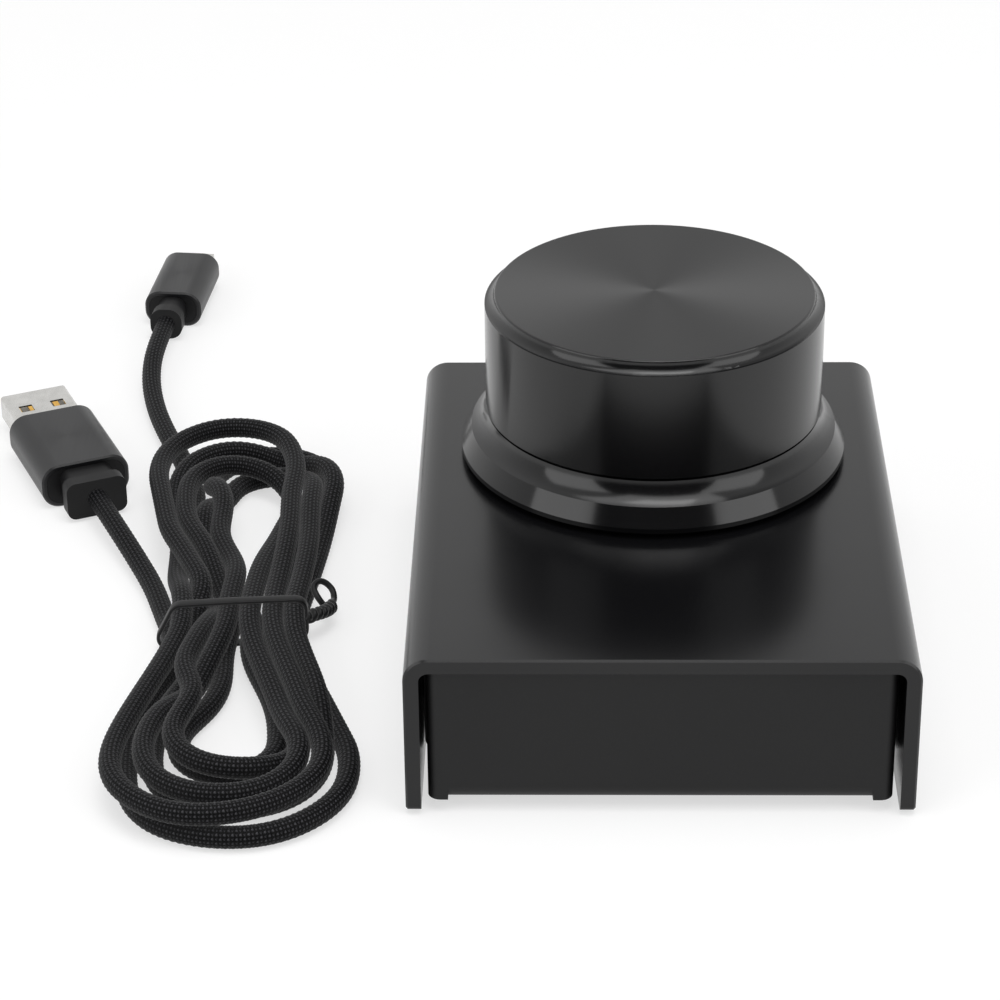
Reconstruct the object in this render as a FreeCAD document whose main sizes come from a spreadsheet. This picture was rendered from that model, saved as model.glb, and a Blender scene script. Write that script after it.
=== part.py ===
"""USB volume knob: a folded sheet-metal case, a push encoder, a turned knob and its cable.

Millimetres.  +X is right, +Y is back, +Z is up.  The origin is on the table under the
middle of the case.  Every driving dimension is a cell of the sheet named Sizes.
"""
import FreeCAD
import Part
import Sketcher
import math
import os

V = FreeCAD.Vector

DIMENSIONS = [
    # the case
    ("cover_width", 75.0, "outside width of the folded cover"),
    ("cover_length", 96.3, "length of the cover, front to back"),
    ("cover_height", 26.0, "cover, from its lower edges to its top"),
    ("cover_sheet", 2.3, "sheet of the cover"),
    ("cover_bend", 3.7, "outer radius of the cover's two bends"),
    ("cover_lift", 0.8, "lower edges of the cover above the table"),
    ("corner_round", 0.8, "rounded lower corners of the cover's sides"),
    ("edge_break", 0.3, "broken edge at the cover's ends and other turned edges"),
    ("foot_height", 2.0, "rubber foot, which holds the chassis off the table"),
    ("foot_radius", 5.0, "rubber foot at the chassis"),
    ("foot_taper", 0.5, "how much smaller the foot is on the table"),
    ("foot_inset", 11.5, "foot's centre in from the cover's edges"),
    ("side_gap", 0.95, "open slit between the chassis walls and the cover's sides"),
    ("chassis_sheet", 1.5, "sheet of the chassis"),
    ("chassis_bend", 2.5, "outer radius of the chassis bends"),
    ("flange_bend", 1.9, "outer radius of the bends between walls and flanges"),
    ("panel_recess", 0.8, "front and rear walls inside the cover's ends"),
    ("slip", 0.1, "clearance where the cover slides over the chassis"),
    ("flange_depth", 6.0, "side flanges folded back from the walls"),
    ("ear_width", 3.0, "unbent corner beside the floor's bend"),
    ("ear_lift", 0.3, "lower end of that corner above the floor's face"),
    ("relief_height", 4.5, "corner relief, up and in from the floor's face"),
    ("tab_width", 12.0, "screw tab along the side"),
    ("tab_height", 14.0, "screw tab, up from the floor's face"),
    ("tab_root", 6.0, "screw tab's foot on the floor"),
    ("tab_notch", 1.0, "notch in the floor beside the tab"),
    ("side_screw_spread", 28.0, "side screws in front of and behind the middle"),
    ("side_screw_height", 8.0, "side screws above the chassis floor's face"),
    ("fit", 0.05, "clearance of a part that seats in another"),
    # M3 screws: countersunk at the sides, pan head on the board
    ("screw_radius", 1.5, "shank of the M3 screws"),
    ("screw_length", 6.0, "length of the side screws"),
    ("screw_head_radius", 2.75, "their countersunk head, as deep as it stands out"),
    ("pan_head_radius", 2.8, "pan head of the board screws"),
    ("pan_head_height", 1.8, "height of that head"),
    ("pan_length", 8.0, "length of the board screws with their head"),
    # the knob
    ("knob_back", 17.7, "knob axis behind the middle of the case"),
    ("knob_gap", 0.7, "skirt above the cover"),
    ("cap_radius", 26.7, "side of the cap"),
    ("cap_height", 19.35, "seam to top face"),
    ("shoulder_radius", 1.6, "hollow shoulder of the cap"),
    ("shoulder_inset", 1.5, "top face inside the side"),
    ("shoulder_drop", 1.85, "ledge at the shoulder's foot under the top face"),
    ("shoulder_ledge", 0.4, "width of that ledge"),
    ("face_edge", 0.3, "rounded edge of the top face"),
    ("seam_break", 0.15, "broken edge of the cap at the seam"),
    ("skirt_height", 7.6, "skirt, bottom to seam"),
    ("skirt_flare", 3.9, "widest part of the skirt beyond the cap"),
    ("rim_height", 1.1, "upright rim at the foot of the skirt"),
    ("rim_break", 0.35, "break under that rim"),
    ("ridge_flare", 2.3, "sharp ridge between cone and cove, beyond the cap"),
    ("cove_radius", 4.0, "hollow cove from the ridge up to the seam"),
    ("cove_height", 3.2, "height of that cove"),
    ("cove_inset", 0.15, "top of the cove inside the cap's side"),
    ("seam_groove", 0.35, "height of the groove at the seam"),
    ("seam_depth", 0.9, "depth of that groove"),
    ("spigot_step", 5.7, "cap's spigot inside its side"),
    ("flange_thickness", 1.5, "skirt's inner flange under the spigot"),
    ("flange_width", 8.0, "that flange, inwards from the spigot's edge"),
    ("nut_room", 3.2, "recess of the cap around the nut"),
    ("press_room", 1.0, "recess above the bushing when the knob is pressed"),
    ("insert_radius", 6.0, "brass insert pressed in the cap"),
    ("insert_height", 12.5, "length of the insert"),
    ("insert_headroom", 0.6, "blind bore above the insert"),
    ("skirt_screw_radius", 1.25, "shank of the M2.5 screws"),
    ("skirt_screw_length", 6.0, "their length"),
    ("skirt_head_radius", 2.35, "their countersunk head, as deep as it stands out"),
    # the push encoder, from its mounting face down to the board
    ("strap", 0.4, "steel strap over the encoder"),
    ("casting", 1.2, "flange of the threaded bushing"),
    ("play", 0.05, "play of the clip, the plunger and the dome"),
    ("clip_sheet", 0.4, "thickness of the shaft's clip"),
    ("press_travel", 0.5, "travel of the push switch"),
    ("wheel_room", 0.35, "pressed clip to detent wheel"),
    ("wheel_height", 1.4, "thickness of the detent wheel"),
    ("wheel_play", 0.1, "detent wheel above the chamber's floor"),
    ("plunger_height", 0.9, "height of the switch plunger"),
    ("dome_height", 1.05, "height of the snap dome"),
    ("housing_floor", 0.5, "plastic under the switch well"),
    # and outwards from its axis
    ("shaft_radius", 3.0, "encoder shaft"),
    ("shaft_fit", 0.03, "running clearance of the shaft"),
    ("flat_depth", 1.5, "depth of the shaft's flat"),
    ("shaft_short", 1.0, "end of the shaft below the insert's top"),
    ("bushing_wall", 0.5, "wall of the threaded bushing"),
    ("bushing_height", 7.0, "bushing above the mounting face"),
    ("clip_lip", 0.6, "clip in and out from the shaft's surface"),
    ("wheel_radius", 4.9, "detent wheel"),
    ("wheel_gap", 0.3, "detent wheel to the chamber's wall"),
    ("housing_wall", 0.5, "thinnest wall around the chamber"),
    ("detents", 24, "detents in a turn"),
    ("detent_depth", 0.3, "depth of a detent groove"),
    ("detent_width", 0.7, "width of a detent groove"),
    ("spring_sheet", 0.2, "detent spring"),
    ("spring_room", 0.6, "detent spring outside the clip"),
    ("spring_inset", 0.1, "detent spring inside the chamber's wall"),
    ("well_gap", 0.2, "switch well around the shaft"),
    ("plunger_gap", 0.3, "plunger inside the well"),
    ("dome_sheet", 0.12, "thickness of the dome"),
    ("washer_sheet", 0.5, "toothed lock washer"),
    ("washer_overhang", 0.6, "washer beyond the nut's flats"),
    ("washer_teeth", 12, "notches of the washer"),
    ("nut_flats", 10.0, "M7 nut across its flats"),
    ("nut_height", 2.0, "its height"),
    ("pin_pitch", 2.5, "pitch of the encoder's pins"),
    ("pin_reach", 1.3, "pins beyond the housing"),
    ("pin_width", 0.7, "width of a pin"),
    ("pin_sheet", 0.35, "thickness of a pin"),
    ("pin_tail", 0.8, "pins and strap lugs below the board"),
    ("lug_width", 2.0, "lugs of the strap in the board"),
    # the board
    ("board_half_width", 20.0, "half the board's width"),
    ("board_front", 13.7, "front edge of the board before the knob axis"),
    ("board_rear_gap", 0.6, "board's rear edge inside the rear wall"),
    ("board_sheet", 1.6, "thickness of the board"),
    ("board_corner", 1.5, "corner radius of the board"),
    ("post_inset", 4.2, "posts in from the board's edges"),
    ("post_flats", 5.0, "hexagonal posts across flats"),
    ("post_base", 2.1, "post's round base in the chassis"),
    ("post_solid", 2.0, "solid foot of the post under its thread"),
    ("port_half_width", 3.75, "half the width of the micro socket"),
    ("port_height", 2.6, "height of the micro socket"),
    ("port_depth", 5.0, "depth of the micro socket"),
    ("port_sheet", 0.3, "sheet of the socket's shell"),
    ("port_corner", 0.85, "slanted lower corner of the socket"),
    ("port_inset", 0.3, "socket's mouth inside the rear wall's face"),
    ("port_window", 0.8, "gap around the socket in the rear wall"),
    ("chip_length", 10.0, "controller chip"),
    ("chip_width", 4.0, "its body between the rows of legs"),
    ("chip_height", 1.5, "its body's height"),
    ("chip_legs", 8, "legs in a row"),
    ("crystal_half_length", 5.5, "half the crystal's can"),
    ("crystal_half_width", 2.3, "half its width, and its round ends"),
    ("crystal_height", 3.5, "its height"),
    # the cable
    ("cord_radius", 1.75, "braided cord"),
    ("hank_x", -28.7, "waist of the tied hank from the case's left side"),
    ("hank_y", 0.5, "waist of the hank, front to back"),
    ("hank_front", 39.5, "middle of the front lobe from the waist"),
    ("hank_rear", 49.5, "middle of the rear lobe from the waist"),
    ("hank_front_radius", 20.0, "front lobe"),
    ("hank_rear_radius", 17.5, "rear lobe"),
    ("hank_waist", 11.0, "half the width of the waist"),
    ("hank_straight", 6.0, "half the length of the waist"),
    ("hank_height", 8.0, "height of the hank"),
    ("hank_round", 1.5, "its broken upper edges"),
    ("tie_width", 1.8, "wire tie along the hank"),
    ("tie_sheet", 0.8, "its thickness"),
    ("tie_sink", 0.4, "how deep it is pulled into the cord"),
    ("tie_twist", 9.0, "its twisted ends"),
    ("plug_half_height", 4.0, "half the height of the USB-A plug's sleeve"),
    ("plug_half_width", 7.75, "half its width"),
    ("plug_sleeve", 21.0, "length of that sleeve"),
    ("plug_neck", 6.5, "neck behind it"),
    ("plug_shell_half_width", 6.0, "half the width of the USB-A shell"),
    ("plug_shell_half_height", 2.25, "half its height"),
    ("plug_shell", 12.0, "length of the shell"),
    ("micro_half_height", 3.5, "half the height of the micro plug's sleeve"),
    ("micro_half_width", 5.4, "half its width"),
    ("micro_sleeve", 18.5, "length of that sleeve"),
    ("micro_neck", 6.5, "neck behind it"),
    ("micro_shell_half_width", 3.4, "half the width of the micro plug's shell"),
    ("micro_shell_half_height", 0.9, "half its height"),
    ("micro_shell", 5.5, "length of that shell"),
    ("sleeve_wall", 0.8, "wall of the plugs' metal sleeves"),
    ("plug_inset", 0.3, "moulding's front inside the sleeve's mouth"),
]

HANK_TURN = 2.8  # degrees, the hank's rear end leans to the left

# The two ends of the cord that lie outside the hank, from plug to hank, with x counted from
# the case's left side.
PLUG_END = [(-56.5, 42.0, 4.0), (-52.6, 33.2, 4.0), (-48.1, 24.5, 2.5), (-44.1, 15.6, 1.8),
            (-41.5, 7.0, 1.8)]
MICRO_END = [(-52.0, 111.0, 3.5), (-53.0, 101.0, 3.5), (-52.8, 90.4, 2.4), (-50.7, 79.6, 1.8),
             (-47.4, 69.0, 1.8), (-43.4, 58.8, 1.8), (-40.7, 49.0, 1.8)]


class Size:
    """A length that knows its number and the sheet expression that gives it."""

    def __init__(self, value, text):
        self.value = value
        self.text = text

    def __add__(self, other):
        other = as_size(other)
        return Size(self.value + other.value, "(%s + %s)" % (self.text, other.text))

    def __sub__(self, other):
        other = as_size(other)
        return Size(self.value - other.value, "(%s - %s)" % (self.text, other.text))

    def __mul__(self, other):
        other = as_size(other)
        return Size(self.value * other.value, "(%s * %s)" % (self.text, other.text))

    def __truediv__(self, other):
        other = as_size(other)
        return Size(self.value / other.value, "(%s / %s)" % (self.text, other.text))

    def __neg__(self):
        return Size(-self.value, "(0 - %s)" % self.text)

    def __rsub__(self, other):
        return as_size(other) - self

    __radd__ = __add__
    __rmul__ = __mul__


def as_size(number):
    return number if isinstance(number, Size) else Size(float(number), "%.6g" % number)


def root(size):
    return Size(math.sqrt(size.value), "sqrt(%s)" % size.text)


class Sheet:
    """The driving dimensions as attributes, each a Size bound to its cell."""

    def __init__(self, document, rows):
        self.cells = document.addObject("Spreadsheet::Sheet", "Sizes")
        for line, (alias, value, note) in enumerate(rows, start=1):
            self.cells.set("A%d" % line, alias)
            self.cells.set("B%d" % line, "%g" % value)
            self.cells.setAlias("B%d" % line, alias)
            self.cells.set("C%d" % line, note)
            setattr(self, alias, Size(float(value), "Sizes.%s" % alias))


doc = FreeCAD.newDocument("volume_knob")
s = Sheet(doc, DIMENSIONS)
doc.recompute()
nodes = []


# ---------------------------------------------------------------- document helpers
def bind(thing, prop, size):
    thing.setExpression(prop, as_size(size).text)


def place(thing, x=0, y=0, z=0):
    for axis, size in zip("xyz", (x, y, z)):
        bind(thing, "Placement.Base.%s" % axis, size)


def keep(thing, label):
    """Counts an object as one of the finished sub-parts."""
    thing.Label = label
    nodes.append(thing)
    return thing


def new_body(label, x=0, y=0, z=0):
    body = doc.addObject("PartDesign::Body", "body_" + label)
    place(body, x, y, z)
    return keep(body, label)


def sketch_on(body, plane, lift=0):
    """A sketch on an origin plane; XZ faces -Y, so its lift goes towards -Y."""
    sketch = body.newObject("Sketcher::SketchObject", "sketch")
    origin = [f for f in body.Origin.OriginFeatures if f.Role == plane + "_Plane"][0]
    sketch.AttachmentSupport = (origin, [""])
    sketch.MapMode = "FlatFace"
    sketch.AttachmentOffset = FreeCAD.Placement(V(0, 0, as_size(lift).value), FreeCAD.Rotation())
    bind(sketch, "AttachmentOffset.Base.z", lift)
    return sketch


def fix_point(sketch, shape, point, x, y):
    for kind, size in (("DistanceX", as_size(x)), ("DistanceY", as_size(y))):
        index = sketch.addConstraint(Sketcher.Constraint(kind, -1, 1, shape, point, size.value))
        sketch.setExpression("Constraints[%d]" % index, size.text)


def fix_radius(sketch, shape, radius):
    index = sketch.addConstraint(Sketcher.Constraint("Radius", shape, radius.value))
    sketch.setExpression("Constraints[%d]" % index, radius.text)


def arc_between(start, end, radius):
    """The short arc from start to end; a negative radius puts its centre on the right."""
    (x0, y0), (x1, y1) = start, end
    chord = math.hypot(x1 - x0, y1 - y0)
    side = 1.0 if radius > 0 else -1.0
    rise = side * math.sqrt(max(radius * radius - chord * chord / 4.0, 0.0)) / chord
    cx = (x0 + x1) / 2.0 - (y1 - y0) * rise
    cy = (y0 + y1) / 2.0 + (x1 - x0) * rise
    first = math.atan2(y0 - cy, x0 - cx)
    last = math.atan2(y1 - cy, x1 - cx)
    if side < 0:
        first, last = last, first
    return Part.ArcOfCircle(Part.Circle(V(cx, cy, 0), V(0, 0, 1), abs(radius)), first, last)


def outline(sketch, corners):
    """A closed outline.  A corner is (x, y), or (x, y, radius) where an arc leaves it."""
    count = len(corners)
    flat = [[as_size(c) for c in corner] for corner in corners]
    first = sketch.GeometryCount
    ends = []
    for i, corner in enumerate(flat):
        a = (corner[0].value, corner[1].value)
        following = flat[(i + 1) % count]
        b = (following[0].value, following[1].value)
        if len(corner) == 3:
            sketch.addGeometry(arc_between(a, b, corner[2].value), False)
            ends.append((1, 2) if corner[2].value > 0 else (2, 1))
        else:
            sketch.addGeometry(Part.LineSegment(V(*a, 0), V(*b, 0)), False)
            ends.append((1, 2))
    for i in range(count):
        after = (i + 1) % count
        sketch.addConstraint(Sketcher.Constraint("Coincident", first + i, ends[i][1],
                                                 first + after, ends[after][0]))
    for i, corner in enumerate(flat):
        fix_point(sketch, first + i, ends[i][0], corner[0], corner[1])
        if len(corner) == 3:
            radius = corner[2] if corner[2].value > 0 else -corner[2]
            fix_radius(sketch, first + i, radius)


def rectangle(sketch, x0, y0, x1, y1):
    outline(sketch, [(x0, y0), (x1, y0), (x1, y1), (x0, y1)])


def circle(sketch, x, y, radius):
    radius = as_size(radius)
    centre = V(as_size(x).value, as_size(y).value, 0)
    index = sketch.addGeometry(Part.Circle(centre, V(0, 0, 1), radius.value), False)
    fix_point(sketch, index, 3, x, y)
    fix_radius(sketch, index, radius)


def hexagon(sketch, across_flats):
    """A hexagon about the sketch's origin, two of its flats facing +Y and -Y."""
    half = across_flats / 2
    corner = across_flats / 3 ** 0.5
    outline(sketch, [(corner, 0), (corner / 2, half), (-corner / 2, half),
                     (-corner, 0), (-corner / 2, -half), (corner / 2, -half)])


def d_shape(sketch, radius, flat):
    """A circle about the origin with its far side cut straight at y = flat."""
    half = root(radius * radius - flat * flat)
    outline(sketch, [(-half, flat, radius), (0, -radius, radius), (half, flat)])


def pad(body, sketch, length, symmetric=False, back=False):
    feature = body.newObject("PartDesign::Pad", "pad")
    feature.Profile = sketch
    feature.SideType = "Symmetric" if symmetric else "One side"
    feature.Reversed = back
    bind(feature, "Length", length)
    doc.recompute()
    return feature


def pocket(body, sketch, length=None, symmetric=False, back=False):
    """A cut against the sketch's normal, or along it with back; no length means through all."""
    before = body.Shape.Volume
    feature = body.newObject("PartDesign::Pocket", "pocket")
    feature.Profile = sketch
    feature.SideType = "Symmetric" if symmetric else "One side"
    feature.Reversed = back
    if length is None:
        feature.Type = "ThroughAll"
    else:
        bind(feature, "Length", length)
    doc.recompute()
    if not body.Shape.Volume < before - 1e-6:
        raise RuntimeError("a pocket of %s cuts nothing" % body.Label)
    return feature


def around_z(body, feature, occurrences):
    pattern = body.newObject("PartDesign::PolarPattern", "pattern")
    pattern.Originals = [feature]
    pattern.Axis = ([f for f in body.Origin.OriginFeatures if f.Role == "Z_Axis"][0], [""])
    pattern.Angle = 360
    bind(pattern, "Occurrences", occurrences)
    body.Tip = pattern
    doc.recompute()


def revolve(body, sketch):
    feature = body.newObject("PartDesign::Revolution", "revolution")
    feature.Profile = sketch
    feature.ReferenceAxis = (sketch, ["V_Axis"])
    feature.Angle = 360
    doc.recompute()
    return feature


def dress(body, kind, size, wanted):
    """A Fillet (Radius) or Chamfer (Size) on the edges whose middle point passes wanted."""
    base = body.Tip
    names = ["Edge%d" % (i + 1) for i, edge in enumerate(base.Shape.Edges)
             if wanted(edge, edge.valueAt((edge.FirstParameter + edge.LastParameter) / 2))]
    if not names:
        raise RuntimeError("no edge to dress on %s" % body.Label)
    feature = body.newObject("PartDesign::" + kind, kind.lower())
    feature.Base = (base, names)
    bind(feature, "Radius" if kind == "Fillet" else "Size", size)
    doc.recompute()
    return feature


def near(a, b):
    return abs(as_size(a).value - as_size(b).value) < 1e-4


def long_edge(edge, axis):
    """True for a straight edge along the axis numbered 0, 1 or 2."""
    if edge.Curve.TypeId != "Part::GeomLine":
        return False
    return abs(abs(edge.Curve.Direction[axis]) - 1) < 1e-6


def on_arc(edge, radius):
    """True for a circular edge of that radius."""
    return edge.Curve.TypeId == "Part::GeomCircle" and near(edge.Curve.Radius, radius)


def cylinder(radius, height, x=0, y=0, z=0):
    part = doc.addObject("Part::Cylinder", "cylinder")
    bind(part, "Radius", radius)
    bind(part, "Height", height)
    place(part, x, y, z)
    return part


def cone(low_radius, high_radius, height, x=0, y=0, z=0):
    part = doc.addObject("Part::Cone", "cone")
    bind(part, "Radius1", low_radius)
    bind(part, "Radius2", high_radius)
    bind(part, "Height", height)
    place(part, x, y, z)
    return part


def box(length, width, height, x=0, y=0, z=0):
    """A box whose lowest corner is at x, y, z."""
    part = doc.addObject("Part::Box", "box")
    bind(part, "Length", length)
    bind(part, "Width", width)
    bind(part, "Height", height)
    place(part, x, y, z)
    return part


def hex_bar(across_flats, height, z=0):
    part = doc.addObject("Part::Prism", "prism")
    part.Polygon = 6
    bind(part, "Circumradius", across_flats / 3 ** 0.5)
    bind(part, "Height", height)
    place(part, 0, 0, z)
    return part


def fuse(parts):
    joined = doc.addObject("Part::MultiFuse", "fuse")
    joined.Shapes = parts
    return joined


def cut(base, tool):
    left = doc.addObject("Part::Cut", "cut")
    left.Base = base
    left.Tool = tool
    return left


def group(label, parts):
    """Several separate solids as one sub-part."""
    compound = doc.addObject("Part::Compound", "group_" + label)
    compound.Links = parts
    return keep(compound, label)


def turn(thing, axis, degrees):
    """Turns a thing about its own origin, before it is placed."""
    thing.Placement = FreeCAD.Placement(thing.Placement.Base, FreeCAD.Rotation(axis, degrees))
    return thing


# ---------------------------------------------------------------- levels and places
chassis_floor = s.foot_height + s.chassis_sheet
cover_underside = s.cover_lift + s.cover_height - s.cover_sheet
cover_top = s.cover_lift + s.cover_height
wall_face = s.cover_length / 2 - s.panel_recess
tab_face = s.cover_width / 2 - s.cover_sheet - s.slip
left_side = -(s.cover_width / 2)

# the encoder's levels, all measured down from its mounting face
flange_under = s.strap + s.casting
clip_top = flange_under + s.play
clip_under = clip_top + s.clip_sheet
wheel_top = clip_under + s.press_travel + s.wheel_room
chamber_floor = wheel_top + s.wheel_height + s.wheel_play
shaft_foot = chamber_floor + s.play
plunger_top = shaft_foot + s.play
well_floor = plunger_top + s.plunger_height + s.play + s.dome_height
encoder_depth = well_floor + s.housing_floor

# the encoder's radii
shaft_flat = s.shaft_radius - s.flat_depth
bushing_radius = s.shaft_radius + s.bushing_wall
clip_seat = s.shaft_radius - s.clip_lip
clip_radius = s.shaft_radius + s.clip_lip
chamber_radius = s.wheel_radius + s.wheel_gap
well_radius = s.shaft_radius + s.well_gap
plunger_radius = well_radius - s.plunger_gap
encoder_half = chamber_radius + s.housing_wall
pin_row = encoder_half + s.pin_reach
pin_places = [(column * s.pin_pitch, -pin_row) for column in (-1, 0, 1)]
pin_places += [(column * s.pin_pitch, pin_row) for column in (-1, 1)]

# the board
board_top = cover_underside - encoder_depth
board_underside = board_top - s.board_sheet
board_near = s.knob_back - s.board_front
board_far = wall_face - s.chassis_sheet - s.board_rear_gap
post_places = [(side * (s.board_half_width - s.post_inset), y) for side in (-1, 1)
               for y in (board_near + s.post_inset, board_far - s.post_inset)]

# the knob's levels and radii
skirt_bottom = cover_top + s.knob_gap
seam = skirt_bottom + s.skirt_height
spigot_end = skirt_bottom + s.flange_thickness
spigot_radius = s.cap_radius - s.spigot_step
flange_bore = spigot_radius - s.flange_width
screw_circle = (flange_bore + spigot_radius) / 2
insert_foot = cover_underside + s.bushing_height + s.press_travel + s.press_room
insert_top = insert_foot + s.insert_height
shaft_top = insert_top - s.shaft_short


def screw(shank_radius, length, head_radius, pan_height=None):
    """A screw along -Z from the top of its head at the origin, with a hexagon socket."""
    if pan_height is None:
        head_height = head_radius - shank_radius
        head = cone(shank_radius, head_radius, head_height, z=-head_height)
    else:
        head_height = pan_height
        head = cylinder(head_radius, head_height, z=-head_height)
    shank = cylinder(shank_radius, length - head_height / 2, z=-length)
    socket_depth = head_height * 0.6
    socket = hex_bar(shank_radius, socket_depth * 2, z=-socket_depth)
    return cut(fuse([head, shank]), socket)


# ---------------------------------------------------------------- the case
def make_cover():
    """An inverted U folded from one sheet, with a hole for the encoder's bushing."""
    body = new_body("cover", z=s.cover_lift)
    half = s.cover_width / 2
    inner = half - s.cover_sheet
    under = s.cover_height - s.cover_sheet
    end = s.cover_length / 2
    sketch = sketch_on(body, "XZ")
    outline(sketch, [(-half, 0), (-inner, 0), (-inner, under), (inner, under), (inner, 0),
                     (half, 0), (half, s.cover_height), (-half, s.cover_height)])
    pad(body, sketch, s.cover_length, symmetric=True)
    dress(body, "Fillet", s.cover_bend,
          lambda e, m: long_edge(e, 1) and near(abs(m.x), half) and near(m.z, s.cover_height))
    dress(body, "Fillet", s.cover_bend - s.cover_sheet,
          lambda e, m: long_edge(e, 1) and near(abs(m.x), inner) and near(m.z, under))
    dress(body, "Fillet", s.corner_round,
          lambda e, m: long_edge(e, 0) and near(abs(m.y), end) and near(m.z, 0))
    dress(body, "Chamfer", s.edge_break,
          lambda e, m: near(abs(m.y), end) and (
              near(abs(m.x), half) or near(m.z, s.cover_height) or on_arc(e, s.cover_bend)))
    hole = sketch_on(body, "XY")
    circle(hole, 0, s.knob_back, bushing_radius + 2 * s.fit)
    pocket(body, hole, back=True)
    screws = sketch_on(body, "YZ")
    height = s.foot_height + s.side_screw_height - s.cover_lift
    hole_radius = s.screw_radius + 2 * s.fit
    for side in (-1, 1):
        circle(screws, side * s.side_screw_spread, height, hole_radius)
    pocket(body, screws, s.cover_width * 2, symmetric=True)
    dress(body, "Chamfer", s.screw_head_radius - s.screw_radius - s.fit,
          lambda e, m: on_arc(e, hole_radius) and near(abs(m.x), half))


def make_chassis():
    """Floor with front and rear walls, their flanges and corner ears, and four screw tabs."""
    body = new_body("chassis", z=s.foot_height)
    sheet = s.chassis_sheet
    half = s.cover_width / 2 - s.cover_sheet - s.side_gap
    rise = cover_underside - s.slip - s.foot_height
    inside = wall_face - sheet
    corners = [(side, end) for side in (-1, 1) for end in (-1, 1)]
    side_view = sketch_on(body, "YZ")
    outline(side_view, [(-wall_face, 0), (wall_face, 0), (wall_face, rise), (inside, rise),
                        (inside, sheet), (-inside, sheet), (-inside, rise), (-wall_face, rise)])
    pad(body, side_view, half * 2, symmetric=True)
    dress(body, "Fillet", s.chassis_bend,
          lambda e, m: long_edge(e, 0) and near(abs(m.y), wall_face) and near(m.z, 0))
    dress(body, "Fillet", s.chassis_bend - sheet,
          lambda e, m: long_edge(e, 0) and near(abs(m.y), inside) and near(m.z, sheet))

    relief = sketch_on(body, "XY")
    clear = half + sheet
    notch_near = s.side_screw_spread - s.tab_width / 2 - s.tab_notch
    notch_far = s.side_screw_spread + s.tab_width / 2 + s.tab_notch
    for side, end in corners:
        rectangle(relief, side * (half - s.ear_width), end * (wall_face - s.relief_height),
                  side * clear, end * (wall_face + sheet))
        rectangle(relief, side * (tab_face - s.tab_root + s.tab_notch), end * notch_near,
                  side * clear, end * notch_far)
    pocket(body, relief, s.relief_height, back=True)

    flanges = sketch_on(body, "XY", s.ear_lift)
    far = wall_face - s.flange_depth
    for side, end in corners:
        outline(flanges, [(side * (half - s.ear_width), end * wall_face),
                          (side * half, end * wall_face), (side * half, end * far),
                          (side * (half - sheet), end * far),
                          (side * (half - sheet), end * inside),
                          (side * (half - s.ear_width), end * inside)])
    pad(body, flanges, rise - s.ear_lift)
    dress(body, "Fillet", s.flange_bend,
          lambda e, m: long_edge(e, 2) and near(abs(m.x), half) and near(abs(m.y), wall_face))

    for end in (-1, 1):
        tabs = sketch_on(body, "XZ", -end * s.side_screw_spread - s.tab_width / 2)
        for side in (-1, 1):
            outline(tabs, [(side * (tab_face - s.tab_root), 0), (side * tab_face, 0),
                           (side * tab_face, s.tab_height),
                           (side * (tab_face - sheet), s.tab_height),
                           (side * (tab_face - sheet), sheet),
                           (side * (tab_face - s.tab_root), sheet)])
        pad(body, tabs, s.tab_width)
    dress(body, "Fillet", s.chassis_bend,
          lambda e, m: long_edge(e, 1) and near(abs(m.x), tab_face) and near(m.z, 0))
    screws = sketch_on(body, "YZ")
    for end in (-1, 1):
        circle(screws, end * s.side_screw_spread, s.side_screw_height, s.screw_radius + s.fit)
    pocket(body, screws, s.cover_width, symmetric=True)

    bases = sketch_on(body, "XY")
    for x, y in post_places:
        circle(bases, x, y, s.post_base + s.fit)
    pocket(body, bases, sheet * 2, back=True)
    window = sketch_on(body, "XZ", -(inside - sheet))
    wide = s.port_half_width + s.port_window
    low = board_top - s.foot_height
    rectangle(window, -wide, low - s.port_window, wide, low + s.port_height + s.port_window)
    pocket(body, window, sheet * 3)


def make_feet():
    """Four rubber feet, a little smaller on the table than at the chassis."""
    for side, across in ((-1, "left"), (1, "right")):
        for end, along in ((-1, "front"), (1, "rear")):
            foot = cone(s.foot_radius - s.foot_taper, s.foot_radius, s.foot_height,
                        side * (s.cover_width / 2 - s.foot_inset),
                        end * (s.cover_length / 2 - s.foot_inset))
            keep(foot, "foot_%s_%s" % (along, across))


def make_side_screws():
    """Four countersunk screws that hold the cover's sides to the chassis tabs."""
    screws = []
    for side in (-1, 1):
        for end in (-1, 1):
            part = screw(s.screw_radius, s.screw_length, s.screw_head_radius)
            turn(part, V(0, 1, 0), side * 90)
            place(part, side * s.cover_width / 2, end * s.side_screw_spread,
                  s.foot_height + s.side_screw_height)
            screws.append(part)
    group("side_screws", screws)


# ---------------------------------------------------------------- the board
def make_board():
    """The circuit board, with holes for its screws and for the encoder's pins and lugs."""
    body = new_body("circuit_board", z=board_underside)
    sketch = sketch_on(body, "XY")
    rectangle(sketch, -s.board_half_width, board_near, s.board_half_width, board_far)
    pad(body, sketch, s.board_sheet)
    dress(body, "Fillet", s.board_corner, lambda e, m: long_edge(e, 2))
    holes = sketch_on(body, "XY")
    for x, y in post_places:
        circle(holes, x, y, s.screw_radius + 2 * s.fit)
    for x, y in pin_places:
        circle(holes, x, y + s.knob_back, s.pin_width * 0.7)
    strap_middle = encoder_half + s.fit + s.strap / 2
    slot_x, slot_y = s.strap, s.lug_width / 2 + s.fit * 2
    for side in (-1, 1):
        rectangle(holes, side * strap_middle - slot_x, s.knob_back - slot_y,
                  side * strap_middle + slot_x, s.knob_back + slot_y)
    pocket(body, holes, back=True)


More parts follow.
